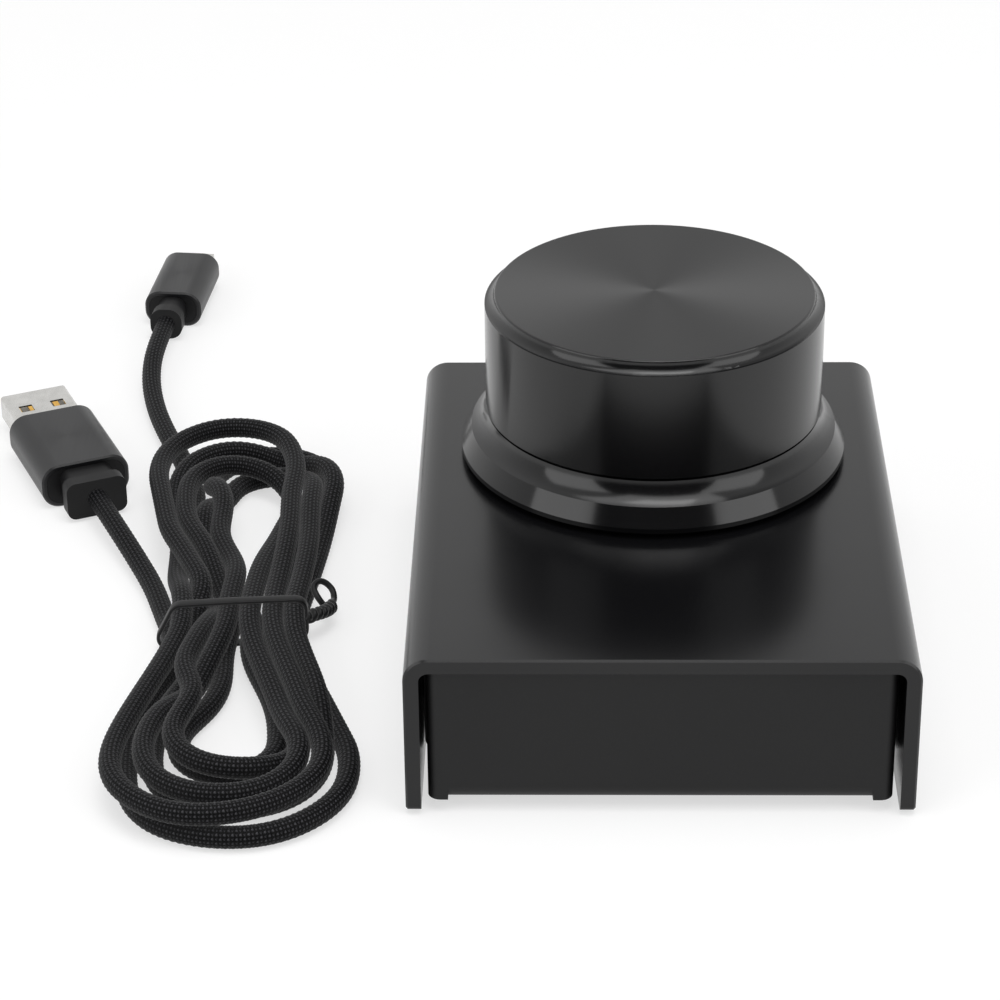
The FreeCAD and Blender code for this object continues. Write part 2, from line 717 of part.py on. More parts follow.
def make_posts():
    """Hexagonal posts clinched in the chassis floor, and the screws that hold the board."""
    posts = []
    screws = []
    height = board_underside - chassis_floor
    base_height = s.chassis_sheet + s.post_solid
    for x, y in post_places:
        bar = hex_bar(s.post_flats, height, z=s.chassis_sheet)
        base = cylinder(s.post_base, base_height)
        bore = cylinder(s.screw_radius + s.fit, height, z=base_height)
        post = cut(fuse([bar, base]), bore)
        place(post, x, y, s.foot_height)
        posts.append(post)
        part = screw(s.screw_radius, s.pan_length, s.pan_head_radius, s.pan_head_height)
        place(part, x, y, board_top + s.pan_head_height)
        screws.append(part)
    group("board_posts", posts)
    group("board_screws", screws)


def socket_outline(sketch, half_width, low, high, slant):
    """An outline like that of a micro plug: a rectangle with slanted lower corners."""
    outline(sketch, [(slant - half_width, low), (half_width - slant, low),
                     (half_width, low + slant), (half_width, high), (-half_width, high),
                     (-half_width, low + slant)])


def port_section(sketch, inset):
    inset = as_size(inset)
    socket_outline(sketch, s.port_half_width - inset, inset, s.port_height - inset,
                   s.port_corner)


def make_port():
    """The micro socket: a folded shell, and the block with its tongue."""
    mouth = wall_face - s.port_inset
    shell = new_body("port_shell", y=mouth, z=board_top)
    sketch = sketch_on(shell, "XZ")
    port_section(sketch, 0)
    port_section(sketch, s.port_sheet)
    pad(shell, sketch, s.port_depth)
    block_depth = s.port_depth * 0.3
    tongue = new_body("port_tongue", y=mouth, z=board_top)
    block = sketch_on(tongue, "XZ", s.port_depth)
    port_section(block, s.port_sheet + s.fit)
    pad(tongue, block, block_depth, back=True)
    plate = sketch_on(tongue, "XZ", s.port_depth)
    half = s.port_half_width * 0.55
    middle = s.port_height * 0.6
    rectangle(plate, -half, middle - s.port_sheet, half, middle + s.port_sheet)
    pad(tongue, plate, s.port_depth * 0.85, back=True)


def make_board_parts():
    """Controller chip with its legs, the crystal and the small capacitors."""
    leg_width, leg_reach, leg_height, leg_pitch, lift = 0.4, 1.1, 0.7, 1.27, 0.1
    chip_x = -4.0 - s.chip_length
    chip_y = s.knob_back + pin_row + 1.9
    pieces = [box(s.chip_length, s.chip_width, s.chip_height, chip_x, chip_y,
                  board_top + lift)]
    for row in (chip_y + lift - leg_reach, chip_y + s.chip_width - lift):
        for number in range(int(s.chip_legs.value)):
            x = chip_x + (number + 0.28) * leg_pitch
            pieces.append(box(leg_width, leg_reach, leg_height, x, row, board_top))
    keep(fuse(pieces), "controller_chip")

    crystal = new_body("crystal", 12, chip_y + s.chip_width, board_top)
    sketch = sketch_on(crystal, "XY")
    end, round_end = s.crystal_half_length, s.crystal_half_width
    straight = end - round_end
    outline(sketch, [(-straight, -round_end), (straight, -round_end, round_end),
                     (end, 0, round_end), (straight, round_end),
                     (-straight, round_end, round_end), (-end, 0, round_end)])
    pad(crystal, sketch, s.crystal_height)

    length, width, height = 2.0, 1.25, 0.8
    behind_chip = chip_y + s.chip_width + 5
    places = [(x, behind_chip) for x in (-12, -9, -6, 9)]
    places += [(x, chip_y - 1) for x in (9, 12)]
    group("board_capacitors",
          [box(length, width, height, x, y, board_top) for x, y in places])


# ---------------------------------------------------------------- the push encoder
def encoder_body(label):
    """A body on the encoder's axis whose zero is the mounting face."""
    return new_body(label, 0, s.knob_back, cover_underside)


def make_encoder_case():
    """Steel strap with its lugs, threaded bushing and the plastic housing."""
    strap = encoder_body("encoder_strap")
    inner = encoder_half + s.fit
    outer = inner + s.strap
    sketch = sketch_on(strap, "XZ")
    outline(sketch, [(-outer, -encoder_depth), (-inner, -encoder_depth), (-inner, -s.strap),
                     (inner, -s.strap), (inner, -encoder_depth), (outer, -encoder_depth),
                     (outer, 0), (-outer, 0)])
    pad(strap, sketch, encoder_half * 2, symmetric=True)
    lugs = sketch_on(strap, "XZ")
    for side in (-1, 1):
        rectangle(lugs, side * inner, -(encoder_depth + s.board_sheet + s.pin_tail),
                  side * outer, -encoder_depth)
    pad(strap, lugs, s.lug_width, symmetric=True)
    hole = sketch_on(strap, "XY")
    circle(hole, 0, 0, bushing_radius + s.fit)
    pocket(strap, hole, s.strap * 2)

    bushing = encoder_body("encoder_bushing")
    base = sketch_on(bushing, "XY", -flange_under)
    rectangle(base, -encoder_half, -encoder_half, encoder_half, encoder_half)
    pad(bushing, base, s.casting)
    barrel = sketch_on(bushing, "XY", -flange_under)
    circle(barrel, 0, 0, bushing_radius)
    pad(bushing, barrel, flange_under + s.bushing_height)
    dress(bushing, "Chamfer", s.edge_break, lambda e, m: near(m.z, s.bushing_height))
    bore = sketch_on(bushing, "XY", -flange_under)
    circle(bore, 0, 0, s.shaft_radius + s.shaft_fit)
    pocket(bushing, bore, back=True)

    housing = encoder_body("encoder_housing")
    base = sketch_on(housing, "XY", -encoder_depth)
    rectangle(base, -encoder_half, -encoder_half, encoder_half, encoder_half)
    pad(housing, base, encoder_depth - flange_under)
    chamber = sketch_on(housing, "XY", -chamber_floor)
    circle(chamber, 0, 0, chamber_radius)
    pocket(housing, chamber, back=True)
    well = sketch_on(housing, "XY", -well_floor)
    circle(well, 0, 0, well_radius)
    pocket(housing, well, back=True)


def make_encoder_pins():
    """Three pins of the encoder and two of its switch, bent down through the board."""
    pins = []
    foot = encoder_depth + s.board_sheet + s.pin_tail
    level = well_floor - s.pin_sheet
    for x, y in pin_places:
        outer = y - s.pin_sheet / 2
        start, span = outer, -encoder_half - outer
        if y.value > 0:
            start, span = encoder_half, outer + s.pin_sheet - encoder_half
        arm = box(s.pin_width, span, s.pin_sheet, x - s.pin_width / 2, start, -level)
        leg = box(s.pin_width, s.pin_sheet, foot - level + s.pin_sheet,
                  x - s.pin_width / 2, outer, -foot)
        pin = fuse([arm, leg])
        place(pin, 0, s.knob_back, cover_underside)
        pins.append(pin)
    group("encoder_pins", pins)


def make_detent():
    """The grooved wheel that turns with the shaft, and the spring whose noses ride over it."""
    spring_inner = clip_radius + s.spring_room
    spring_outer = chamber_radius - s.spring_inset
    wheel = encoder_body("detent_wheel")
    disc = sketch_on(wheel, "XY", -(wheel_top + s.wheel_height))
    circle(disc, 0, 0, s.wheel_radius)
    d_shape(disc, s.shaft_radius + s.fit, shaft_flat + s.fit)
    pad(wheel, disc, s.wheel_height)
    groove = sketch_on(wheel, "XY", -(wheel_top + s.detent_depth))
    half = s.detent_width / 2
    rectangle(groove, spring_inner - half, -half, s.wheel_radius + half, half)
    around_z(wheel, pocket(wheel, groove, s.detent_depth * 2, back=True), s.detents)

    ring_level = -(flange_under + s.spring_sheet)
    hole = cylinder(spring_inner, s.spring_sheet * 3, z=ring_level - s.spring_sheet)
    pieces = [cut(cylinder(spring_outer, s.spring_sheet, z=ring_level), hole)]
    nose = s.detent_width / 3
    nose_level = wheel_top - s.fit - nose
    length = spring_outer - spring_inner
    for start in (spring_inner, -spring_outer):
        bar = turn(cylinder(nose, length), V(0, 1, 0), 90)
        place(bar, start, 0, -nose_level)
        pieces.append(bar)
        pieces.append(box(length, nose, nose_level - flange_under, start, -nose / 2,
                          -nose_level))
    spring = keep(fuse(pieces), "detent_spring")
    place(spring, 0, s.knob_back, cover_underside)


def make_shaft():
    """The shaft with a flat at each end and a groove, and the clip that holds it down."""
    shaft = encoder_body("encoder_shaft")
    shaft_end = shaft_top - cover_underside
    rod = sketch_on(shaft, "XY", -shaft_foot)
    circle(rod, 0, 0, s.shaft_radius)
    pad(shaft, rod, shaft_foot + shaft_end)
    dress(shaft, "Chamfer", s.edge_break, lambda e, m: near(m.z, shaft_end))
    seat = sketch_on(shaft, "XY", -(clip_under + s.fit))
    circle(seat, 0, 0, s.shaft_radius * 2)
    circle(seat, 0, 0, clip_seat)
    pocket(shaft, seat, s.clip_sheet + 2 * s.fit, back=True)
    wide = s.shaft_radius * 2
    upper = sketch_on(shaft, "XY", insert_foot - cover_underside - s.fit)
    rectangle(upper, -wide, shaft_flat, wide, wide)
    pocket(shaft, upper, back=True)
    lower = sketch_on(shaft, "XY", -(clip_under + 2 * s.fit))
    rectangle(lower, -wide, shaft_flat, wide, wide)
    pocket(shaft, lower)

    clip = encoder_body("shaft_clip")
    ring = sketch_on(clip, "XY", -clip_under)
    circle(ring, 0, 0, clip_radius)
    circle(ring, 0, 0, clip_seat + s.shaft_fit)
    pad(clip, ring, s.clip_sheet)
    slot = sketch_on(clip, "XY", -clip_under)
    rectangle(slot, -clip_seat * 0.7, 0, clip_seat * 0.7, clip_radius * 2)
    pocket(clip, slot, back=True)


def make_push_switch():
    """The plunger under the shaft and the snap dome that lifts it."""
    plunger = encoder_body("switch_plunger")
    nub = plunger_radius / 3
    shelf = plunger_top + s.plunger_height * 0.6
    foot = plunger_top + s.plunger_height
    sketch = sketch_on(plunger, "XZ")
    outline(sketch, [(0, -foot), (nub, -foot), (nub, -shelf), (plunger_radius, -shelf),
                     (plunger_radius, -plunger_top), (0, -plunger_top)])
    revolve(plunger, sketch)

    dome = encoder_body("switch_dome")
    rim = plunger_radius - s.fit * 2
    rise = s.dome_height
    radius = (rim * rim + rise * rise) / (2 * rise)
    inner_radius = radius - s.dome_sheet
    depth = radius - rise
    inner_rim = root(inner_radius * inner_radius - depth * depth)
    sketch = sketch_on(dome, "XZ")
    outline(sketch, [(inner_rim, -well_floor), (rim, -well_floor, radius),
                     (0, rise - well_floor),
                     (0, rise - s.dome_sheet - well_floor, -inner_radius)])
    revolve(dome, sketch)


def make_encoder_fixing():
    """Toothed lock washer and nut on top of the cover, under the knob."""
    hole = bushing_radius + s.fit
    washer_radius = s.nut_flats / 2 + s.washer_overhang
    washer = new_body("lock_washer", 0, s.knob_back, cover_top)
    sketch = sketch_on(washer, "XY")
    circle(sketch, 0, 0, washer_radius)
    circle(sketch, 0, 0, hole)
    pad(washer, sketch, s.washer_sheet)
    notch = sketch_on(washer, "XY")
    half = s.washer_sheet / 2
    rectangle(notch, (washer_radius + hole) / 2, -half, washer_radius + half, half)
    around_z(washer, pocket(washer, notch, back=True), s.washer_teeth)

    nut = new_body("encoder_nut", 0, s.knob_back, cover_top + s.washer_sheet)
    sketch = sketch_on(nut, "XY")
    hexagon(sketch, s.nut_flats)
    circle(sketch, 0, 0, hole)
    pad(nut, sketch, s.nut_height)


# ---------------------------------------------------------------- the knob
def knob_body(label, z):
    return new_body(label, 0, s.knob_back, z)


def make_knob_cap():
    """The turned cap: flat face, hollow shoulder, straight side and a spigot underneath."""
    cap = knob_body("knob_cap", seam)
    foot = spigot_end - seam
    recess_top = insert_foot - seam
    bore_top = insert_top + s.insert_headroom - seam
    recess_radius = s.nut_flats / 3 ** 0.5 + s.nut_room
    spigot = spigot_radius - s.fit
    sketch = sketch_on(cap, "XZ")
    outline(sketch, [
        (0, bore_top), (s.insert_radius, bore_top), (s.insert_radius, recess_top),
        (recess_radius, recess_top), (recess_radius, foot), (spigot, foot), (spigot, 0),
        (s.cap_radius - s.seam_break, 0), (s.cap_radius, s.seam_break),
        (s.cap_radius, s.cap_height - s.shoulder_drop),
        (s.cap_radius - s.shoulder_ledge, s.cap_height - s.shoulder_drop, -s.shoulder_radius),
        (s.cap_radius - s.shoulder_inset, s.cap_height), (0, s.cap_height)])
    revolve(cap, sketch)
    face_radius = s.cap_radius - s.shoulder_inset
    dress(cap, "Fillet", s.face_edge,
          lambda e, m: on_arc(e, face_radius) and near(m.z, s.cap_height))
    hole = sketch_on(cap, "XY", foot)
    circle(hole, screw_circle, 0, s.skirt_screw_radius + s.fit)
    around_z(cap, pocket(cap, hole, s.skirt_screw_length, back=True), 3)


def make_knob_skirt():
    """The ring under the cap: upright rim, cone, sharp ridge and a hollow cove."""
    skirt = knob_body("knob_skirt", skirt_bottom)
    wide = s.cap_radius + s.skirt_flare
    ridge = s.cap_radius + s.ridge_flare
    cove_top = s.cap_radius - s.cove_inset
    groove_foot = s.skirt_height - s.seam_groove
    groove_wall = s.cap_radius - s.seam_depth
    sketch = sketch_on(skirt, "XZ")
    outline(sketch, [
        (flange_bore, 0), (wide - s.rim_break, 0), (wide, s.rim_break), (wide, s.rim_height),
        (ridge, groove_foot - s.cove_height, -s.cove_radius), (cove_top, groove_foot),
        (groove_wall, groove_foot), (groove_wall, s.skirt_height),
        (spigot_radius, s.skirt_height), (spigot_radius, s.flange_thickness),
        (flange_bore, s.flange_thickness)])
    revolve(skirt, sketch)
    hole_radius = s.skirt_screw_radius + 2 * s.fit
    hole = sketch_on(skirt, "XY")
    circle(hole, screw_circle, 0, hole_radius)
    around_z(skirt, pocket(skirt, hole, s.flange_thickness * 2, back=True), 3)
    dress(skirt, "Chamfer", s.skirt_head_radius - s.skirt_screw_radius - s.fit,
          lambda e, m: on_arc(e, hole_radius) and near(m.z, 0))


def make_knob_insert():
    """Brass insert with the D bore that grips the shaft."""
    insert = knob_body("knob_insert", insert_foot)
    sketch = sketch_on(insert, "XY")
    circle(sketch, 0, 0, s.insert_radius - s.shaft_fit)
    d_shape(sketch, s.shaft_radius + s.shaft_fit, shaft_flat + s.shaft_fit)
    pad(insert, sketch, s.insert_height)


def make_skirt_screws():
    """Three countersunk screws, from below, that hold the skirt to the cap."""
    screws = []
    for number in range(3):
        part = screw(s.skirt_screw_radius, s.skirt_screw_length, s.skirt_head_radius)
        turn(part, V(0, 1, 0), 180)
        angle = math.radians(120 * number)
        place(part, screw_circle * math.cos(angle),
              s.knob_back + screw_circle * math.sin(angle), skirt_bottom)
        screws.append(part)
    group("skirt_screws", screws)


# ---------------------------------------------------------------- the plugs
def at_cord_end(thing, route, height):
    """Sets a piece at the first point of a cord end, its +Y pointing away from the cord."""
    (x0, y0, _), (x1, y1, _) = route[0], route[1]
    turn(thing, V(0, 0, 1), math.degrees(math.atan2(y0 - y1, x0 - x1)) - 90)
    place(thing, left_side + x0, y0, height)


def plug_body(label, route, height):
    body = new_body(label)
    at_cord_end(body, route, height)
    return body


def round_bar(body, half_width, half_height, corner, start, length, wall=None):
    """A bar along +Y from start, with rounded corners, solid or a tube of that wall."""
    sketch = sketch_on(body, "XZ", -start)
    for inset in [as_size(0)] + ([] if wall is None else [wall]):
        w, h, r = half_width - inset, half_height - inset, corner - inset
        outline(sketch, [(r - w, -h), (w - r, -h, r), (w, r - h), (w, h - r, r), (w - r, h),
                         (r - w, h, r), (-w, h - r), (-w, r - h, r)])
    return pad(body, sketch, length, back=True)


def make_plug_sleeve(label, route, half_width, half_height, corner, start, length):
    """A metal sleeve, open at both ends, with broken outer edges."""
    sleeve = plug_body(label, route, half_height)
    round_bar(sleeve, half_width, half_height, corner, start, length, s.sleeve_wall)
    dress(sleeve, "Chamfer", s.edge_break,
          lambda e, m: (near(m.y, start) or near(m.y, start + length)) and (
              near(abs(m.x), half_width) or near(abs(m.z), half_height) or on_arc(e, corner)))


def make_usb_plug():
    """USB-A plug: neck and core in one moulding, metal sleeve, shell, tongue and contacts."""
    height, width, neck = s.plug_half_height, s.plug_half_width, s.plug_neck
    gap = s.sleeve_wall + s.fit
    corner = height * 0.8
    neck_corner = height * 0.4
    front = neck + s.plug_sleeve - s.plug_inset
    moulding = plug_body("plug_moulding", PLUG_END, height)
    round_bar(moulding, width * 0.68, height * 0.85, neck_corner, 0, neck * 0.4)
    round_bar(moulding, width * 0.58, height * 0.75, neck_corner, 0, neck)
    round_bar(moulding, width - gap, height - gap, corner - gap, neck, front - neck)
    make_plug_sleeve("plug_sleeve", PLUG_END, width, height, corner, neck, s.plug_sleeve)

    shell = plug_body("plug_shell", PLUG_END, height)
    wide, tall, skin = s.plug_shell_half_width, s.plug_shell_half_height, s.port_sheet
    round_bar(shell, wide, tall, skin * 2, front, s.plug_shell, skin)
    windows = sketch_on(shell, "XY")
    near_end, far_end = front + s.plug_shell * 0.38, front + s.plug_shell * 0.58
    for side in (-1, 1):
        rectangle(windows, side * wide * 0.28, near_end, side * wide * 0.68, far_end)
    pocket(shell, windows, tall * 4, symmetric=True)

    tongue = plug_body("plug_tongue", PLUG_END, height)
    block = sketch_on(tongue, "XZ", -front)
    inner = wide - skin * 2
    rectangle(block, -inner, skin + s.fit - tall, inner, -s.fit)
    pad(tongue, block, s.plug_shell - skin, back=True)
    width_of_contact = 1.0
    strips = [box(width_of_contact, s.plug_shell * 0.62, skin / 2,
                  place_x - width_of_contact / 2, front + s.plug_shell * 0.3, -s.fit)
              for place_x in (-3.5, -1.0, 1.0, 3.5)]
    at_cord_end(group("plug_contacts", strips), PLUG_END, height)


def make_micro_plug():
    """Micro plug: moulding with a collared neck, metal sleeve, shell and tongue."""
    height, width, neck = s.micro_half_height, s.micro_half_width, s.micro_neck
    gap = s.sleeve_wall + s.fit
    corner = height * 0.85
    front = neck + s.micro_sleeve - s.plug_inset
    moulding = plug_body("micro_moulding", MICRO_END, height)
    collar, waist = height * 0.86, height * 0.74
    round_bar(moulding, collar, collar, collar * 0.8, 0, neck * 0.4)
    round_bar(moulding, waist, waist, waist * 0.8, 0, neck)
    round_bar(moulding, width - gap, height - gap, corner - gap, neck, front - neck)
    make_plug_sleeve("micro_sleeve", MICRO_END, width, height, corner, neck, s.micro_sleeve)

    shell = plug_body("micro_shell", MICRO_END, height)
    wide, tall, skin = s.micro_shell_half_width, s.micro_shell_half_height, s.port_sheet
    slant = tall * 0.7
    section = sketch_on(shell, "XZ", -front)
    for inset in (as_size(0), skin):
        socket_outline(section, wide - inset, inset - tall, tall - inset, slant)
    pad(shell, section, s.micro_shell, back=True)
    tongue = plug_body("micro_tongue", MICRO_END, height)
    block = sketch_on(tongue, "XZ", -front)
    inner = wide - skin - slant
    rectangle(block, -inner, 0, inner, tall - skin - s.fit)
    pad(tongue, block, s.micro_shell - skin, back=True)


# ---------------------------------------------------------------- the cord
def rounded_route(points):
    """Straight runs joined by tangent arcs, each arc as large as its two runs allow."""
    points = [V(*p) for p in points]
    edges = []
    radii = []
    start = points[0]
    for before, corner, after in zip(points, points[1:], points[2:]):
        into = (corner - before).normalize()
        out = (after - corner).normalize()
        half_turn = into.getAngle(out) / 2
        reach = 0.45 * min((corner - before).Length, (after - corner).Length)
        radius = reach / math.tan(half_turn)
        first = corner - into * reach
        last = corner + out * reach
        middle = corner + (out - into).normalize() * (radius / math.cos(half_turn) - radius)
        edges.append(Part.LineSegment(start, first).toShape())
        edges.append(Part.Arc(first, middle, last).toShape())
        radii.append(radius)
        start = last
    edges.append(Part.LineSegment(start, points[-1]).toShape())
    return Part.Wire(edges), radii


def make_cord_end(label, points):
    """A plain tube along one end of the cord."""
    points = [(left_side.value + x, y, z) for x, y, z in points]
    path, radii = rounded_route(points)
    radius = s.cord_radius.value
    along = V(*points[1]) - V(*points[0])
    ring = Part.Wire(Part.Circle(V(*points[0]), along, radius).toShape())
    tube = path.makePipeShell([ring], True, False, 2)
    expected = math.pi * radius ** 2 * path.Length
    print("%s: length %.1f, radii %s, volume ratio %.4f" % (
        label, path.Length, " ".join("%.0f" % r for r in radii), tube.Volume / expected))
    cord = doc.addObject("Part::Feature", "cord_" + label)
    cord.Shape = tube
    keep(cord, label)


def tangent_point(px, py, radius):
    """Where the right-hand tangent from (px, py) touches a circle about the origin."""
    square = px * px + py * py
    reach = root(square - radius * radius)
    return ((px * radius * radius + py * radius * reach) / square,
            (py * radius * radius - px * radius * reach) / square)


def in_hank(thing):
    """Sets a piece at the hank's waist, turned with the hank."""
    turn(thing, V(0, 0, 1), HANK_TURN)
    place(thing, left_side + s.hank_x, s.hank_y, 0)
    return thing


def make_hank():
    """The tied hank: two lobes and a waist, with a groove for the tie."""
    hank = in_hank(doc.addObject("PartDesign::Body", "hank_solid"))
    waist, flat = s.hank_waist, s.hank_straight
    front, front_radius = s.hank_front, s.hank_front_radius
    rear, rear_radius = s.hank_rear, s.hank_rear_radius
    fx, fy = tangent_point(waist, front - flat, front_radius)
    rx, ry = tangent_point(waist, rear - flat, rear_radius)
    sketch = sketch_on(hank, "XY")
    outline(sketch, [(waist, -flat), (waist, flat), (rx, rear - ry, rear_radius),
                     (0, rear + rear_radius, rear_radius), (-rx, rear - ry), (-waist, flat),
                     (-waist, -flat), (-fx, fy - front, front_radius),
                     (0, -(front + front_radius), front_radius), (fx, fy - front)])
    pad(hank, sketch, s.hank_height)
    dress(hank, "Chamfer", s.hank_round, lambda e, m: near(m.z, s.hank_height))
    groove = tie_band(s.tie_sink + s.fit, s.tie_width + 2 * s.fit, s.tie_sheet, s.tie_sheet)
    keep(cut(hank, in_hank(groove)), "cord_hank")


def tie_band(depth, width, outside, below):
    """A band round the hank's waist, from that deep in the hank to that far outside it."""
    half = s.hank_waist + outside
    core = s.hank_waist - depth
    height = s.hank_height
    whole = box(half * 2, width, height + outside + below, -half, -width / 2, -below)
    middle = box(core * 2, width * 3, height - depth * 2, -core, -width * 1.5, depth)
    return cut(whole, middle)


def make_tie():
    """The wire tie: a band pressed into the hank's waist, and its two ends twisted together."""
    outside = s.tie_sheet - s.tie_sink
    band = tie_band(s.tie_sink, s.tie_width, outside, as_size(0))
    twist = turn(cylinder(s.tie_sheet * 0.8, s.tie_twist), V(1, -1, 0), -78)
    place(twist, s.hank_waist + s.tie_sink, 0, s.hank_height / 2)
    keep(in_hank(fuse([band, twist])), "wire_tie")


def make_cable():
    make_usb_plug()
    make_micro_plug()
    make_cord_end("cord_plug_end", PLUG_END)
    make_cord_end("cord_micro_end", MICRO_END)
    make_hank()
    make_tie()


# ---------------------------------------------------------------- build, check, write
def build():
    make_cover()
    make_chassis()
    make_feet()
    make_side_screws()
    make_board()
    make_posts()
    make_port()
    make_board_parts()
    make_encoder_case()
    make_encoder_pins()
    make_detent()
    make_shaft()
    make_push_switch()
    make_encoder_fixing()
    make_knob_cap()
    make_knob_skirt()
    make_knob_insert()
    make_skirt_screws()
    make_cable()
    doc.recompute()


def check():
    """Stops on any object that failed and on any sub-part that is empty or invalid."""
    for thing in doc.Objects:
        if "Invalid" in thing.State or "Error" in thing.State:
            raise RuntimeError("%s (%s) failed: %s" % (thing.Label, thing.Name, thing.State))
    for node in nodes:
        if node.Shape.isNull() or not node.Shape.isValid() or not node.Shape.Solids:
            raise RuntimeError("%s has no valid solid" % node.Label)


def write():
    os.makedirs("parts", exist_ok=True)
    for node in nodes:
        node.Shape.exportStep(os.path.join("parts", node.Label + ".step"))
        size = node.Shape.optimalBoundingBox(False)
        print("%-20s %2d solid(s) %9.1f mm3  z %6.2f to %6.2f" % (
            node.Label, len(node.Shape.Solids), node.Shape.Volume, size.ZMin, size.ZMax))
    print(len(nodes), "sub-parts")


build()
check()
write()
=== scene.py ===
# %% [markdown]
# # A volume knob and its cable
# This file dresses a finished engineering model of a desk volume knob: a big turned knob on a low
# folded metal case, with its braided USB cable unplugged and tied in a hank beside it. The hard
# parts come from the model as they are and only get finishes. The cable is soft, so it is made
# here. Read it from the top: each cell does one step and prints what it made.

import bpy
import numpy as np
from mathutils import Matrix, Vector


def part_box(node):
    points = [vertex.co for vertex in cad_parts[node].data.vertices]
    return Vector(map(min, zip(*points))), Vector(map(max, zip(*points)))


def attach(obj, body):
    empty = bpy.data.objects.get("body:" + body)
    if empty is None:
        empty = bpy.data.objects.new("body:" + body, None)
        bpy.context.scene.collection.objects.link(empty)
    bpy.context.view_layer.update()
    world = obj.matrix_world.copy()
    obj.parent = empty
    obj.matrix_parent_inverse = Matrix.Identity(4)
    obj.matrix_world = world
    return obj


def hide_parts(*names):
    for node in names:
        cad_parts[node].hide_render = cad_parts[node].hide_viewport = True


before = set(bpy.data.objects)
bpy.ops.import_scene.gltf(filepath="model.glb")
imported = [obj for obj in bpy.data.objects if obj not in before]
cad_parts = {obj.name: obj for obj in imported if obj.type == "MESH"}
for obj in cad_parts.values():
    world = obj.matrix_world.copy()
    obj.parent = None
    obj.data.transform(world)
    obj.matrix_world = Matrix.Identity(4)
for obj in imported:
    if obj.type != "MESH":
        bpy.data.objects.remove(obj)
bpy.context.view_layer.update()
MM = 0.001
case_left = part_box("cover")[0].x
print("parts:", len(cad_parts), "left side of the case at", round(case_left / MM, 2), "mm")

# %% [markdown]
# ## The camera
# A small product is best seen from some distance with a long lens, so that its sides stay
# almost parallel. The three turns of the camera are given one by one (down, sideways, and a slight
# roll), and its axes follow from them, which is easier to correct than Euler angles.

# %% Camera
PLACE = np.array([-13.396, -459.58, 279.58]) * MM
DOWN, ASIDE, ROLL = np.radians([28.819, -1.346, -0.668])

ahead = np.array([np.sin(ASIDE) * np.cos(DOWN), np.cos(ASIDE) * np.cos(DOWN), -np.sin(DOWN)])
level = np.array([np.cos(ASIDE), -np.sin(ASIDE), 0])
upright = np.cross(level, ahead)
right = np.cos(ROLL) * level + np.sin(ROLL) * upright
top = np.cos(ROLL) * upright - np.sin(ROLL) * level

eye = bpy.data.cameras.new("camera")
eye.lens, eye.sensor_width = 120.94, 36
eye.clip_start, eye.clip_end = 0.01, 20
camera = bpy.data.objects.new("camera", eye)
bpy.context.collection.objects.link(camera)
placed = np.eye(4)
placed[:3] = np.stack([right, top, -ahead, PLACE], axis=1)
camera.matrix_world = Matrix(placed.tolist())
bpy.context.scene.camera = camera
print("camera looks along", ahead.round(3))

# %% [markdown]
# ## The cable's route
# The cable is 1.5 m of thin braided cord with a plug at each end. Its two loose ends run over the
# table, and the rest is wound in a hank: five and a half turns, tied at the waist, that open into a
# lobe at each end. Loose turns are never equal, so each pass round a lobe has a row of its own:
# where it leaves and enters the waist, how far it bulges to each side, where its tip is, and the
# height of its two ends and its tip, in millimetres from the middle of the tie.

# %% Rows of the hank
# the two loose ends, in millimetres: x from the case's left side, y and z from the frame's origin
TO_PLUG = [(-56.5, 42.0, 4.0), (-52.6, 33.2, 4.0), (-48.1, 24.5, 2.5), (-44.1, 15.6, 1.8),
           (-41.5, 7.0, 1.8)]
TO_MICRO = [(-52.0, 111.0, 3.5), (-53.0, 101.0, 3.5), (-52.8, 90.4, 2.4), (-50.7, 79.6, 1.8),
            (-47.4, 69.0, 1.8), (-43.4, 58.8, 1.8), (-40.7, 49.0, 1.8)]
CORD = 3.5             # diameter of the cord
WAIST, WAIST_END = 11.0, 6.0                   # half its width, how far it goes each way
LOBES = {-1: (39.5, 20.0), 1: (49.5, 17.5)}    # front and rear: middle from the tie, radius

# in x, out x, in side, out side, tip x, tip y, in z, tip z, out z
FRONT = [(-8.75, 8.75, -15.9, 18.2, 4.0, -57.6, 1.9, 1.9, 1.9),
         (-8.75, 5.25, -18.2, 13.5, -5.0, -57.0, 5.4, 5.6, 5.4),
         (-5.25, 8.75, -12.4, 14.6, 1.0, -50.0, 1.9, 1.9, 5.4),
         (-5.25, 5.25, -10.0, 10.5, 0.5, -45.0, 5.4, 5.4, 1.9),
         (-1.75, 1.75, -13.5, 13.0, 0.0, -51.5, 5.4, 5.4, 5.4),
         (-1.75, 1.75, -9.2, 9.8, 0.5, -43.0, 1.9, 1.9, 1.9)]
REAR = [(8.75, -8.75, 15.7, -12.2, 2.5, 58.5, 1.9, 4.0, 5.4),
        (5.25, -5.25, 9.0, -15.7, -4.5, 65.2, 5.4, 5.8, 5.4),
        (8.75, -5.25, 12.6, -8.0, 3.5, 55.0, 5.4, 1.9, 5.4),
        (5.25, -1.75, 12.5, -8.5, 4.0, 61.5, 1.9, 1.9, 5.4),
        (1.75, -1.75, 9.2, -8.7, 0.0, 52.5, 5.4, 5.6, 5.4)]

# %% From the hank's own axes to the table and back
BESIDE_CASE, BEHIND_MIDDLE = 28.7, 0.5         # of the tie's middle, in millimetres
HANK_PLACE = np.array([case_left / MM - BESIDE_CASE, BEHIND_MIDDLE])
LEAN = np.radians(2.8)
TURN = np.array([[np.cos(LEAN), -np.sin(LEAN)], [np.sin(LEAN), np.cos(LEAN)]])


